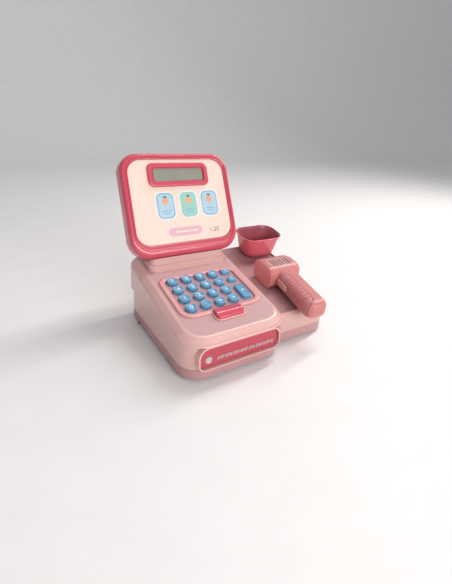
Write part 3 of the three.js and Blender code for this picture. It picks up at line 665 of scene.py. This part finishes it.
def make_keypad_panel(bezel_plastic, shaded_floor_plastic):
    half, front, back, rim = pick(BEZEL, "half_width", "front", "back", "rim")
    reach = BAR["half_width"] + BAR["rim"]
    bar_plan = inset_plan(-reach, reach, BAR["front"] - BAR["rim"], front + 4, (6, 6, 1, 1), 10)
    panel = slab("panel", centred(BEZEL, 16), 0.3, BEZEL["height"], top=1.8)
    join(panel, prism("plug", centred(KEYPAD_HOLE)(FIT), -WALL, 0.5),
         slab("bar_rim", bar_plan, 0.3, 1.5, top=0.8, steps=4),
         prism("bar_plug", centred(BAR_PLUG)(FIT), -WALL, 0.5))

    def recess_ring(flare, z):
        out = flare - rim
        return at_height(rounded(-half - out, half + out, front - out, back + out,
                                 (11.5, 11.5, 8, 8)), z)

    recess = loft("recess", [recess_ring(flare, z) for flare, z in RECESS_SECTION])
    cut(panel, recess, *keypad_holes())
    # The recess floor's faces get the darker recess material: painted shade.
    paint(panel, bezel_plastic, shaded_floor_plastic,
          lambda centre, normal: normal.z > 0.9 and centre.z < BEZEL["floor"] + 0.1)
    placed(panel, "keypad_surround", "case", bezel_plastic, DECK, ["keypad_panel"], 0.45)


def glyph(text, height, depth):
    """A short legend as a raised mesh, centred on its own box, its font height in millimetres."""
    curve = bpy.data.curves.new("glyph", "FONT")
    curve.body = text
    curve.size = height
    curve.extrude = depth
    curve.offset = 0.14
    curve.resolution_u = 4
    letter = linked("glyph", curve)
    mesh = evaluated(letter)
    bpy.data.objects.remove(letter)
    bpy.data.curves.remove(curve)
    xs = [vertex.co.x for vertex in mesh.vertices]
    ys = [vertex.co.y for vertex in mesh.vertices]
    mesh.transform(move(-(min(xs) + max(xs)) / 2, -(min(ys) + max(ys)) / 2))
    mesh.materials.clear()
    return mesh


def with_legend(cap, legend, at, cap_material, ink):
    """Adds a legend's mesh to a piece, in its own material."""
    legend.transform(at)
    two_materials(cap, cap_material, ink)
    with reworked(cap.data) as merged:
        plain = len(merged.faces)
        merged.from_mesh(legend)
        merged.faces.ensure_lookup_table()
        for face in merged.faces[plain:]:
            face.material_index = 1
    bpy.data.meshes.remove(legend)
    return cap


def make_round_keys(plastic, ink):
    radius, top = KEY["radius"], KEY["top"]
    flange = radius + KEY["flange"]
    profile = [(flange, UNDER_DECK - KEY["flange_height"]), (flange, UNDER_DECK),
               (radius, UNDER_DECK), (radius, 0)]
    curl = 0.9
    profile += [(radius - curl + curl * cosine, top - curl + curl * sine)
                for sine, cosine in quarter(6)]
    dish = radius - curl - 0.25
    profile += [(dish, top - 0.06), (dish - 0.25, top - 0.3), (dish - 0.5, top - 0.6),
                (dish - 0.9, top - 0.78), (dish * 0.4, top - 0.85), (0.3, top - 0.87)]
    for index, (ending, text) in enumerate(ROUND_KEYS):
        name = "key_" + ending
        cap = lathe(name, profile)
        with_legend(cap, glyph(text, 9.2, 0.3), move(z=top - 0.55), plastic, ink)
        place = DECK @ move((index % 4 - 2) * PITCH, index // 4 * PITCH)
        placed(cap, name + "_cap", name, plastic, place, [name], 0)


def make_block_keys(plastic, ink):
    top = KEY["top"]
    for name, row, length, text, height in BLOCK_KEYS:
        plan = block_plan(length)
        flange = prism("flange", plan(-KEY["flange"]), UNDER_DECK - KEY["flange_height"],
                       UNDER_DECK)
        cap = join(slab(name, plan, UNDER_DECK - 0.1, top, top=1.3), flange)
        cut(cap, slab("dish", lambda inset: plan(2.4 - inset), top - 0.35, top + 3, bottom=0.3,
                      steps=3))
        with_legend(cap, glyph(text, height, 0.3), move(z=top - 0.2), plastic, ink)
        placed(cap, name + "_cap", name, plastic, DECK @ move(2 * PITCH, row * PITCH),
               [name], 0.15)


def make_release_bar(plastic):
    """A sloping front, a crest along the middle and a slope down to the back."""
    half, front, back = pick(BAR, "half_width", "front", "back")
    section = [(front, UNDER_DECK - 0.1), (front, 1.9), (front + 0.25, 2.8), (front + 0.9, 3.6),
               (front + 4.2, 5.4), (front + 5.5, 6.0), (front + 6.6, 6.3), (front + 7.6, 6.4),
               (front + 8.6, 6.3), (front + 10.3, 5.9), (back - 4, 4.7), (back - 1.8, 3.9),
               (back - 0.6, 3.0), (back, 1.8), (back, UNDER_DECK - 0.1)]
    section.reverse()
    ridge = prism("ridge", section, -half, half)
    shaped(ridge, Matrix(((0, 0, 1, 0), (1, 0, 0, 0), (0, 1, 0, 0), (0, 0, 0, 1))))
    with reworked(ridge.data) as work:
        bmesh.ops.recalc_face_normals(work, faces=work.faces)
    bar = meet(slab("bar", centred(BAR, 10, least=0.5), -20, 6.6, top=1.2), ridge)
    flange = box("flange", -half - 1.4, half + 1.4, front - 1.2, back + 1.2, UNDER_DECK - 1.5,
                 UNDER_DECK)
    stem = circle(2.4, 24, 0, (front + back) / 2)
    join(bar, flange, prism("stem", stem, -15.8, UNDER_DECK - 1))
    placed(bar, "release_bar_cap", "release_bar", plastic, DECK, ["release_bar"], 0.5)

# ---------------------------------------------------------------- drawer


drawer_plan = centred(DRAWER, 12)


def make_drawer(plastic):
    """A front and a tray behind it, with four cells for coins and three for notes."""
    inner_front = DRAWER["y"] + DRAWER["face_depth"]
    drawer = shaped(slab("drawer", drawer_plan, -inner_front, -DRAWER["y"], top=1.2, bottom=0.4,
                         steps=4), FACING)
    wide, low, high, back, wall = pick(TRAY, "half_width", "bottom", "top", "back", "wall")
    join(drawer, box("tray", -wide, wide, inner_front - 0.5, back, low, high))
    coin_back = inner_front + TRAY["coin_depth"]
    for dividers, y0, y1 in (((-24.5, 0, 24.5), inner_front + wall, coin_back),
                             ((-16, 16), coin_back + wall, back - wall)):
        edges = (-wide + wall / 2, *dividers, wide - wall / 2)
        for left, right in zip(edges, edges[1:]):
            cell = inset_plan(left + wall / 2, right - wall / 2, y0, y1, 2.5, 5, least=0.3)
            cut(drawer, slab("cell", cell, low + wall, high + 5, bottom=1.5, steps=4))
    placed(drawer, "cash_drawer_tray", "cash_drawer", plastic,
           nodes=["cash_drawer"], edge=0.3)


def make_drawer_trim(silver):
    """A plain silver trim: a ring and a row of thin leaning strokes of different widths."""
    front = -DRAWER["y"]
    ring = lathe("trim", [(4.1, 0), (4.1, 0.25), (3.8, 0.4), (2.6, 0.4), (2.3, 0.2)], 32)
    shaped(ring, FACING @ move(TRIM["ring_x"], TRIM["ring_z"], front - 0.1))
    placed(ring, "drawer_trim_ring", "cash_drawer", silver, edge=0)
    x, low, lean = pick(TRIM, "left", "bottom", "lean")
    stroke = 0
    while x < TRIM["right"]:
        width = (1.3, 0.8, 2.1, 1.0, 1.6)[stroke % 5]
        high = (29.6, 29.0, 29.8)[stroke % 3]
        outline = [(x, low), (x + width, low), (x + width + lean, high), (x + lean, high)]
        mark = shaped(prism("stroke", outline, -0.1, 0.3), FACING @ move(z=front))
        placed(mark, f"drawer_trim_stroke_{stroke + 1}", "cash_drawer", silver, edge=0)
        x += width + (0.9, 1.2, 0.8, 1.9)[stroke % 4]
        stroke += 1

# ---------------------------------------------------------------- side platform


platform_plan = plan_of(PLATFORM, least=1)


def make_platform(glossy, satin):
    def blank(inset, top):
        body = slab("platform", lambda more: platform_plan(inset + more), -60, top,
                    top=PLATFORM["edge"] - inset)
        return cut(shaped(body, SHEAR), space(z1=SHELL_BOTTOM - (5 if inset else 0)))

    floor = PLATFORM["floor"]
    shell = blank(0, floor + PLATFORM["rim_height"])
    corner = 1.5
    recess = slab("recess", lambda inset: platform_plan(PLATFORM["rim_width"] + corner - inset),
                  floor, floor + 20, bottom=corner, steps=5)
    cut(shell, shaped(recess, SHEAR), blank(WALL, floor - WALL))
    # The recess floor's faces get the darker floor material: painted shade.
    paint(shell, glossy, satin, on_slope(floor, 0.3))
    placed(shell, "platform_shell", "case", glossy, nodes=["side_platform"], edge=0.5)

# ---------------------------------------------------------------- display


screen_plan = centred(SCREEN, 24)
face_plan = centred(FACE, 24)

# (share of the way from the face's opening to the outside, height) across the front frame.
FRAME_SECTION = ((1.0, -7.0), (0.985, -5.4), (0.955, -4.1), (0.91, -2.9), (0.85, -1.9),
                 (0.78, -1.1), (0.70, -0.5), (0.62, -0.14), (0.55, 0), (0.49, 0), (0.45, -0.12),
                 (0.42, -0.4), (0.37, -1.2), (0.345, -1.5), (0.31, -1.6), (0.27, -1.45),
                 (0.12, -0.35), (0.05, -0.1), (0.015, -0.2), (0.0, -0.6))


def make_screen_frame(plastic):
    """A frame that dips beside the face, rises to a crest and rolls over to its outer edge."""
    depth = SCREEN["frame_depth"]
    ledge = -FACE["recess"] - FACE["thickness"] - FIT
    inner, outer = face_plan(-FIT), screen_plan(0)
    rings = [at_height(outer, -depth)]
    for share, z in FRAME_SECTION:
        ring = [(ax + (bx - ax) * share, ay + (by - ay) * share)
                for (ax, ay), (bx, by) in zip(inner, outer)]
        rings.append(at_height(ring, z))
    seat, wall = face_plan(2.5), screen_plan(WALL)
    rings += [at_height(plan, z) for plan, z in ((inner, ledge), (seat, ledge), (seat, ledge - 2),
                                                 (wall, ledge - 2), (wall, -depth))]
    placed(loft("screen_frame", rings, closed=True), "screen_frame", "case", plastic,
           UPRIGHT, ["display_front_frame"], 0.2)


def lcd_plan(grow):
    half = LCD["half_width"] + grow
    return rounded(-half, half, LCD["bottom"] - grow, LCD["top"] + grow,
                   max(3 + grow * 0.75, 0.4), 12)


def make_screen_face(plastic):
    top = -FACE["recess"]
    face = slab("face", face_plan, top - FACE["thickness"], top, top=0.4, steps=3)
    cut(face, prism("lcd_hole", lcd_plan(2), -20, 10))
    placed(face, "screen_face", "case", plastic, UPRIGHT, ["display_face"], 0)


def make_lcd(plastic, glass):
    top = -FACE["recess"]
    bezel = slab("lcd_bezel", lambda inset: lcd_plan(LCD["band"] - inset), top + 0.3,
                 top + LCD["rise"], top=1.9)
    join(bezel, prism("plug", lcd_plan(2 - FIT), top - FACE["thickness"] - 2, top + 1))
    cut(bezel, slab("opening", lambda inset: lcd_plan(0.9 - inset), top - 0.4, 10, bottom=0.5,
                    steps=3), prism("opening", lcd_plan(-1.5), -20, 10))
    placed(bezel, "lcd_surround", "case", plastic, UPRIGHT, ["lcd_bezel"], 0.45)
    pane = slab("lcd_pane", lambda inset: lcd_plan(-FIT - inset), top - 0.1, top + 1, top=0.3,
                steps=3)
    placed(pane, "lcd_pane", "case", glass, UPRIGHT, ["lcd_window"], 0)


def make_screen_back(plastic):
    split = -SCREEN["frame_depth"]
    low = split - SCREEN["back_depth"]

    def bowl(inset):
        return slab("bowl", lambda more: screen_plan(inset + more), low + inset,
                    split - FIT + (5 if inset else 0), bottom=SCREEN["edge"] - inset / 2, steps=9)

    half, lower, back, wall = pick(TONGUE, "half_width", "low", "back", "wall")
    tongue = box("tongue", -half, half, lower, TONGUE["high"], back, TONGUE["front"])
    cut(tongue, box("hollow", wall - half, half - wall, lower + wall, 20, back + wall, 20))
    shell = join(cut(bowl(0), bowl(WALL)), cut(tongue, bowl(WALL)))
    placed(shell, "screen_back", "case", plastic, UPRIGHT, ["display_back"], 0.35)


CARD_COLOURS = dict(white=(0.78, 0.80, 0.79), blue=(0.42, 0.59, 0.70), rim=(0.20, 0.40, 0.60),
                    green=(0.32, 0.58, 0.51), pink=(0.74, 0.42, 0.48), orange=(0.80, 0.38, 0.20),
                    leaf=(0.08, 0.22, 0.20), grey=(0.24, 0.30, 0.32))


def sticker(name, plan, layer, ink):
    """A thin printed card on the display's face, in its own layer above it."""
    z = layer * CARD["layer"] - FACE["recess"]
    piece = slab(name, plan, z, z + CARD["layer"], top=0.05, steps=2)
    placed(piece, name, "case", ink, UPRIGHT, edge=0)


def card_plan(x0, x1, y0, y1, radius):
    return inset_plan(x0, x1, y0, y1, radius, 10, least=0.3)


def make_card(name, x0, x1, edge_ink, ink, inks):
    """A card with two borders, a root with leaves on it and two lines below."""
    layers = (("_border", 0, 9, inks["white"]), ("_edge", 1.7, 7.4, edge_ink), ("", 3.2, 6, ink))
    for layer, (ending, inset, radius, colour) in enumerate(layers):
        plan = card_plan(x0 + inset, x1 - inset, CARD["front"] + inset, CARD["back"] - inset,
                         radius)
        sticker(f"card_{name}{ending}", plan, layer, colour)
    middle = (x0 + x1) / 2
    sticker(f"card_{name}_root", shrinking(turnip(), middle), 3, inks["orange"])
    sticker(f"card_{name}_leaf", shrinking(leaves(), middle), 3, inks["leaf"])
    for line, width in enumerate((14, 9)):
        y = CARD["line_y"] - line * 3.4
        sticker(f"card_{name}_line_{line + 1}",
                card_plan(middle - width / 2, middle + width / 2, y, y + 1.1, 0.45), 3,
                inks["rim"])


def make_cards():
    inks = {name: card_ink("card_" + name, colour) for name, colour in CARD_COLOURS.items()}
    make_card("right", 26, 53.5, inks["rim"], inks["blue"], inks)
    make_card("middle", -5, 22, inks["green"], inks["green"], inks)
    make_card("left", -38, -11, inks["rim"], inks["blue"], inks)
    sticker("capsule", card_plan(*CAPSULE), 0, inks["pink"])
    for index in range(9):
        x = -16 + index * 3.6
        sticker(f"capsule_dash_{index + 1}", card_plan(x, x + 2.4, 30, 32.4, 0.6), 1,
                inks["white"])
    place = move(41.5, 29.6, CARD["layer"] / 2 - FACE["recess"])
    price = with_legend(solid("price", [], []), glyph("1.25", 8.6, 0.06), place, inks["grey"],
                        inks["grey"])
    placed(price, "price_number", "case", inks["grey"], UPRIGHT, edge=0)


def turnip():
    """The outline of a plump root that ends in a point."""
    points = []
    for step in range(28):
        angle = 2 * math.pi * step / 28
        wide = 4.8 * math.sin(angle)
        y = -4.6 * math.cos(angle)
        pinch = 1 - 0.55 * max(0, -y / 4.6) ** 1.5
        points.append((wide * pinch, y - (1.8 if y < -4.4 else 0)))
    return points


def leaves():
    return [(-0.8, 4.3), (0.8, 4.3), (3.0, 6.4), (1.6, 6.6), (2.2, 8.6), (0, 7.2), (-2.2, 8.6),
            (-1.6, 6.6), (-3.0, 6.4)]


def shrinking(outline, x):
    """An outline moved to its card, as a plan that shrinks towards its middle."""
    points = [(x + dx, CARD["root_y"] + dy) for dx, dy in outline]
    cx = sum(px for px, py in points) / len(points)
    cy = sum(py for px, py in points) / len(points)

    def plan(inset):
        scale = 1 - inset / 5
        return [(cx + (px - cx) * scale, cy + (py - cy) * scale) for px, py in points]

    return plan

# ---------------------------------------------------------------- tub


def make_tub(outside, inside):
    """One skin: up the outside, over the rolled lip and down the inside."""
    height, wall, lip = pick(TUB, "height", "wall", "lip")
    wide, deep = TUB["rim"]
    outline = rounded(-wide, wide, -deep, deep, TUB["radius"], 14)

    def ring(z, tuck):
        rise = z / height
        half = [low + (high - low) * rise - tuck for low, high in zip(TUB["base"], TUB["rim"])]
        return [(x * half[0] / wide, y * half[1] / deep, z) for x, y in outline]

    rings = [ring(0, 8)]
    heel = 8
    rings += [ring(heel * (1 - cosine), (heel - 1.5) * (1 - sine))
              for sine, cosine in quarter(9)[1:]]
    lip_bottom = height - TUB["lip_height"]
    rings += [ring(14, 0), ring(23, 0), ring(lip_bottom - 0.4, 0), ring(lip_bottom, -0.2)]
    for step in range(9):
        angle = math.pi * step / 8
        rings.append(ring(height - 1.1 - 1.1 * math.cos(angle),
                          (wall - lip) / 2 - (wall + lip) / 2 * math.sin(angle)))
    rings += [ring(z, wall) for z in (31, 20, 12, 9.5)]
    rings += [ring(wall + 7.7 * (1 - cosine), wall + 6.2 * (1 - sine))
              for sine, cosine in reversed(quarter(9)[:-1])]
    tub = loft("tub", rings)

    def is_inside(centre, normal):
        inward = normal.x * centre.x + normal.y * centre.y < 0
        return 1 < centre.z < height - 1 and (inward or normal.z > 0.5)

    # The inner faces get the darker red: painted shade inside the tub.
    paint(tub, outside, inside, is_inside)
    placed(tub, "play_tub", "scale_tub", outside,
           FLOOR @ move(TUB["x"], TUB["y"], FIT), ["scale_tub"], 0)

# ---------------------------------------------------------------- hand scanner


head_plan = plan_of(HEAD, 16, least=0.5)
handle_plan = plan_of(HANDLE, least=0.5)
grip_plan = plan_of(GRIP, 12)


def scanner_body(name, plan, inset, thickness, edge):
    """A slab about the middle of the scanner's thickness, with all its edges round."""
    z0 = (SCANNER["thickness"] - thickness) / 2 + inset
    return slab(name, lambda more: plan(inset + more), z0, SCANNER["thickness"] - z0,
                top=edge - inset, bottom=edge - inset, steps=9)


def head_body(inset):
    body = scanner_body("head", head_plan, inset, SCANNER["thickness"], HEAD["edge"])
    return cut(body, space(x1=-5 if inset else 0))


def handle_body(inset):
    return shaped(scanner_body("handle", handle_plan, inset, HANDLE["thickness"], HANDLE["edge"]),
                  RAKED)


def grip_column(grow):
    return shaped(prism("grip", grip_plan(-grow), -5, SCANNER["thickness"] + 5), RAKED)


def trigger_slot():
    left = HANDLE["x0"]
    reach = TRIGGER["thickness"] / 2 + FIT
    return shaped(box("slot", left - 5, left + 6, TRIGGER["low"] - FIT, TRIGGER["high"] + FIT,
                      MIDDLE - reach, MIDDLE + reach), RAKED)


def halved(whole, gap):
    """Splits a scanner piece at the middle of its thickness, lower half first."""
    other = linked("half", whole.data.copy())
    return cut(whole, space(z0=MIDDLE - gap / 2)), cut(other, space(z1=MIDDLE + gap / 2))


def make_scanner_shells(plastic):
    outer = cut(join(head_body(0), handle_body(0)), space(x1=PANE + FIT))
    inner = join(head_body(2.4), handle_body(4))
    pocket = cut(grip_column(0.8), handle_body(GRIP["depth"]))
    shell = cut(outer, inner, pocket, trigger_slot())
    for half, name in zip(halved(shell, 0.2), ("scanner_lower", "scanner_upper")):
        placed(half, name + "_half", "scanner", plastic, GUN,
               [name + "_shell"], 0.5)


def make_scanner_window(pane):
    """A slightly bulging pane over the whole front of the head."""
    plan = inset_plan(HEAD["y0"], HEAD["y1"], -MIDDLE, MIDDLE, HEAD["edge"], least=1)
    levels = ((-PANE, 0), (-1.5, 0), (-1.25, 0.07), (-1.0, 0.3), (-0.8, 0.7), (-0.66, 1.3),
              (-0.5, 2.6), (-0.32, 4.6), (-0.16, 7.5), (-0.05, 11))
    lens = loft("lens", [at_height(plan(inset), z) for z, inset in levels])
    facing = Matrix(((0, 0, -1, 0), (-1, 0, 0, 0), (0, 1, 0, 0), (0, 0, 0, 1)))
    shaped(lens, move(z=MIDDLE) @ facing)
    placed(lens, "scanner_lens", "scanner", pane, GUN, ["scanner_window"], 0)


def make_scanner_grips(rubber):
    pad = cut(meet(grip_column(0), handle_body(0)), handle_body(GRIP["depth"] - 0.3),
              trigger_slot())
    for ridge in range(GRIP["ridges"]):
        y = GRIP["y0"] + 11 + ridge * GRIP["step"]
        groove = box("groove", GRIP["x0"], GRIP["x1"] - 2.5, y, y + GRIP["ridge_width"], -5, 40)
        cut(pad, cut(shaped(groove, RAKED), handle_body(GRIP["ridge_depth"])))
    for half, name in zip(halved(pad, 0.2), ("scanner_grip_lower", "scanner_grip_upper")):
        placed(half, name + "_pad", "scanner", rubber, GUN, [name], 0.35)


def make_trigger(plastic):
    left = HANDLE["x0"]
    low, high, proud = pick(TRIGGER, "low", "high", "proud")
    reach = TRIGGER["thickness"] / 2

    def plan(inset):
        return rounded(left - proud + inset, left + 5.2 - inset, low + inset, high - inset,
                       (2.4, 0.4, 0.4, 2.4), 6)

    lever = slab("lever", plan, MIDDLE - reach, MIDDLE + reach, top=1, bottom=1, steps=3)
    reach += 0.7
    flange = box("flange", left + 4.7, left + 5.6, low - 1.6, high + 1.6, MIDDLE - reach,
                 MIDDLE + reach)
    placed(join(lever, flange), "trigger_lever", "scanner_trigger", plastic,
           GUN @ RAKED, ["scanner_trigger"], 0.3)


def draped(piece):
    """Lowers a label's points where the head's upper side rounds off towards its edges."""
    edge = HEAD["edge"]
    flat = HEAD["y1"] - edge
    for vertex in piece.data.vertices:
        beyond = max(0, abs(vertex.co.y) - flat)
        vertex.co.z -= edge - math.sqrt(edge ** 2 - beyond ** 2)
    return piece


def make_scanner_label(silver, dark):
    """A silver outline round a row of bars, on the head's upper side."""
    z = SCANNER["thickness"] - 0.02
    plan = plan_of(LABEL, 10)
    ring = cut(slab("label", plan, z, z + 0.14, top=0.06, steps=2),
               prism("inside", plan(LABEL["line"]), z - 1, z + 1))
    placed(draped(ring), "label_outline", "scanner", silver, GUN, edge=0)
    margin, gap = 4, 1.4
    x, low, high = LABEL["x0"] + margin, LABEL["y0"] + 3.7, LABEL["y1"] - 3
    for index, width in enumerate((1.6, 0.8, 1.2, 2.2, 0.8, 1.6, 0.8, 2.2, 1.2, 0.8, 1.6)):
        bar = box("bar", x, x + width, low, high, z, z + 0.12)
        placed(draped(bar), f"label_bar_{index + 1}", "scanner",
               silver if index % 2 else dark, GUN, edge=0)
        x += width + gap

# ---------------------------------------------------------------- pieces kept from the model


def refined(node, material, body, edge):
    """A node's own shape as a new piece, with its edges rounded."""
    mesh = frame["nodes"][node].data.copy()
    mesh.materials.clear()
    mesh.materials.append(material)
    piece = softened(linked(node + "_piece", mesh), edge, 35)
    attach(piece, body)
    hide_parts(node)
    return piece


def squeezed(spring):
    """Gives a spring a mesh of its own."""
    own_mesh(spring)


def make_kept_pieces(materials):
    bodies = frame["record"]["behaviour"]["bodies"]
    body_of = {node: body for body, members in bodies.items() for node in members}
    slot_of = {part["node"]: part["material_slot"] for part in frame["record"]["subparts"]}
    kept = {}
    for node, source in sorted(frame["nodes"].items()):
        if source.hide_render:
            continue
        slot = slot_of[node]
        edge = 0.12 if slot == "steel" else 0.3
        kept[node] = refined(node, materials[slot], body_of[node], edge)
    squeezed(kept["release_spring"])
    squeezed(kept["trigger_spring"])

# ---------------------------------------------------------------- stage, lights and camera


def make_stage():
    """A pale floor that curves up far behind the object."""
    reach, bend, radius = 7.0, 1.4, 0.8
    profile = [(-3.0, 0.0), (bend, 0.0)]
    profile += [(bend + radius * sine, radius * (1 - cosine)) for sine, cosine in quarter(12)[1:]]
    profile.append((bend + radius, 4.0))
    points = [(x, y, z) for x in (-reach, reach) for y, z in profile]
    count = len(profile)
    faces = [(i, count + i, count + i + 1, i + 1) for i in range(count - 1)]
    floor = solid("floor", points, faces)
    floor.data.materials.append(moulded("floor_paint", (0.84, 0.83, 0.83), (0.82, 0.81, 0.81),
                                        (0.55, 0.7), grain=0.05, grain_scale=600))
    floor.data.shade_smooth()


def light(name, place, target, size, power, colour):
    lamp = bpy.data.lights.new(name, "AREA")
    lamp.shape = "RECTANGLE"
    lamp.size, lamp.size_y = size
    lamp.energy = power
    lamp.color = colour
    holder = linked(name, lamp)
    holder.location = place
    holder.rotation_euler = (Vector(target) - Vector(place)).to_track_quat("-Z", "Y").to_euler()


def make_lights():
    light("key", (0.84, 0.16, 1.12), (0.02, -0.02, 0.06), (0.14, 1.5), 13, (1.0, 0.97, 0.94))
    light("front", (0.1, -1.5, 0.6), (0, 0, 0.08), (1.2, 0.5), 16.5, (1.0, 0.98, 0.96))
    light("top", (0.1, 0.3, 1.4), (0, 0, 0), (0.9, 0.9), 1.5, (0.97, 0.98, 1.0))
    world = bpy.data.worlds.new("studio")
    bpy.context.scene.world = world
    world.use_nodes = True
    background = world.node_tree.nodes["Background"]
    background.inputs["Color"].default_value = (0.93, 0.93, 0.95, 1)
    background.inputs["Strength"].default_value = 0.43


# Angles in degrees, the lens in millimetres, and the place in the working frame.
CAMERA = dict(azimuth=-37.8, elevation=16.46, roll=4.89, place=(-227.4, -394.0, 297.6),
              lens=25.07, sensor=36, shift_x=-0.0868, shift_y=-0.1089)


def make_camera():
    azimuth, elevation, roll = map(math.radians, pick(CAMERA, "azimuth", "elevation", "roll"))
    behind = Vector((math.sin(azimuth) * math.cos(elevation),
                     -math.cos(azimuth) * math.cos(elevation), math.sin(elevation)))
    level = Vector((math.cos(azimuth), math.sin(azimuth), 0))
    above = behind.cross(level)
    right = math.cos(roll) * level + math.sin(roll) * above
    up = -math.sin(roll) * level + math.cos(roll) * above
    lens = bpy.data.cameras.new("camera")
    lens.lens = CAMERA["lens"]
    lens.sensor_width = CAMERA["sensor"]
    lens.shift_x = CAMERA["shift_x"]
    lens.shift_y = CAMERA["shift_y"]
    lens.clip_start = 0.01
    camera = linked("camera", lens)
    axes = Matrix((right, up, behind)).transposed().to_4x4()
    camera.matrix_world = Matrix.Translation(TO_ROW @ Vector(CAMERA["place"])) @ axes
    bpy.context.scene.camera = camera


def main():
    make_camera()
    make_stage()
    make_lights()
    bpy.context.scene.view_settings.view_transform = "Standard"

    blush, salmon, coral = blush_plastic(), salmon_plastic(), coral_plastic()
    sky, ink, silver, rubber = sky_plastic(), legend_ink(), silver_print(), dusky_rubber()

    make_case(blush, shaded_deck_satin())
    make_keypad_panel(salmon, shaded_recess_plastic())
    make_round_keys(sky, ink)
    make_block_keys(sky, ink)
    make_release_bar(coral)
    make_drawer(crimson_plastic())
    make_drawer_trim(silver)
    make_platform(shaded_platform_plastic(), shaded_platform_floor())
    make_screen_frame(coral)
    make_screen_face(cream_plastic())
    make_lcd(coral, lcd_glass())
    make_screen_back(coral)
    make_cards()
    make_tub(tub_plastic(), tub_inside_shade())
    make_scanner_shells(scanner_plastic())
    make_scanner_window(smoked_pane())
    make_scanner_grips(rubber)
    make_trigger(trigger_plastic())
    make_scanner_label(silver, card_ink("label_dark", (0.12, 0.08, 0.09)))
    make_kept_pieces({"mauve": mauve_plastic(), "rubber": black_rubber(),
                      "steel": spring_steel(), "silicone": silicone(),
                      "circuit_board": board_laminate(), "speaker_black": speaker_black(),
                      "blush": blush, "coral": coral, "salmon": salmon, "dusky": rubber})


main()
bpy.context.view_layer.update()
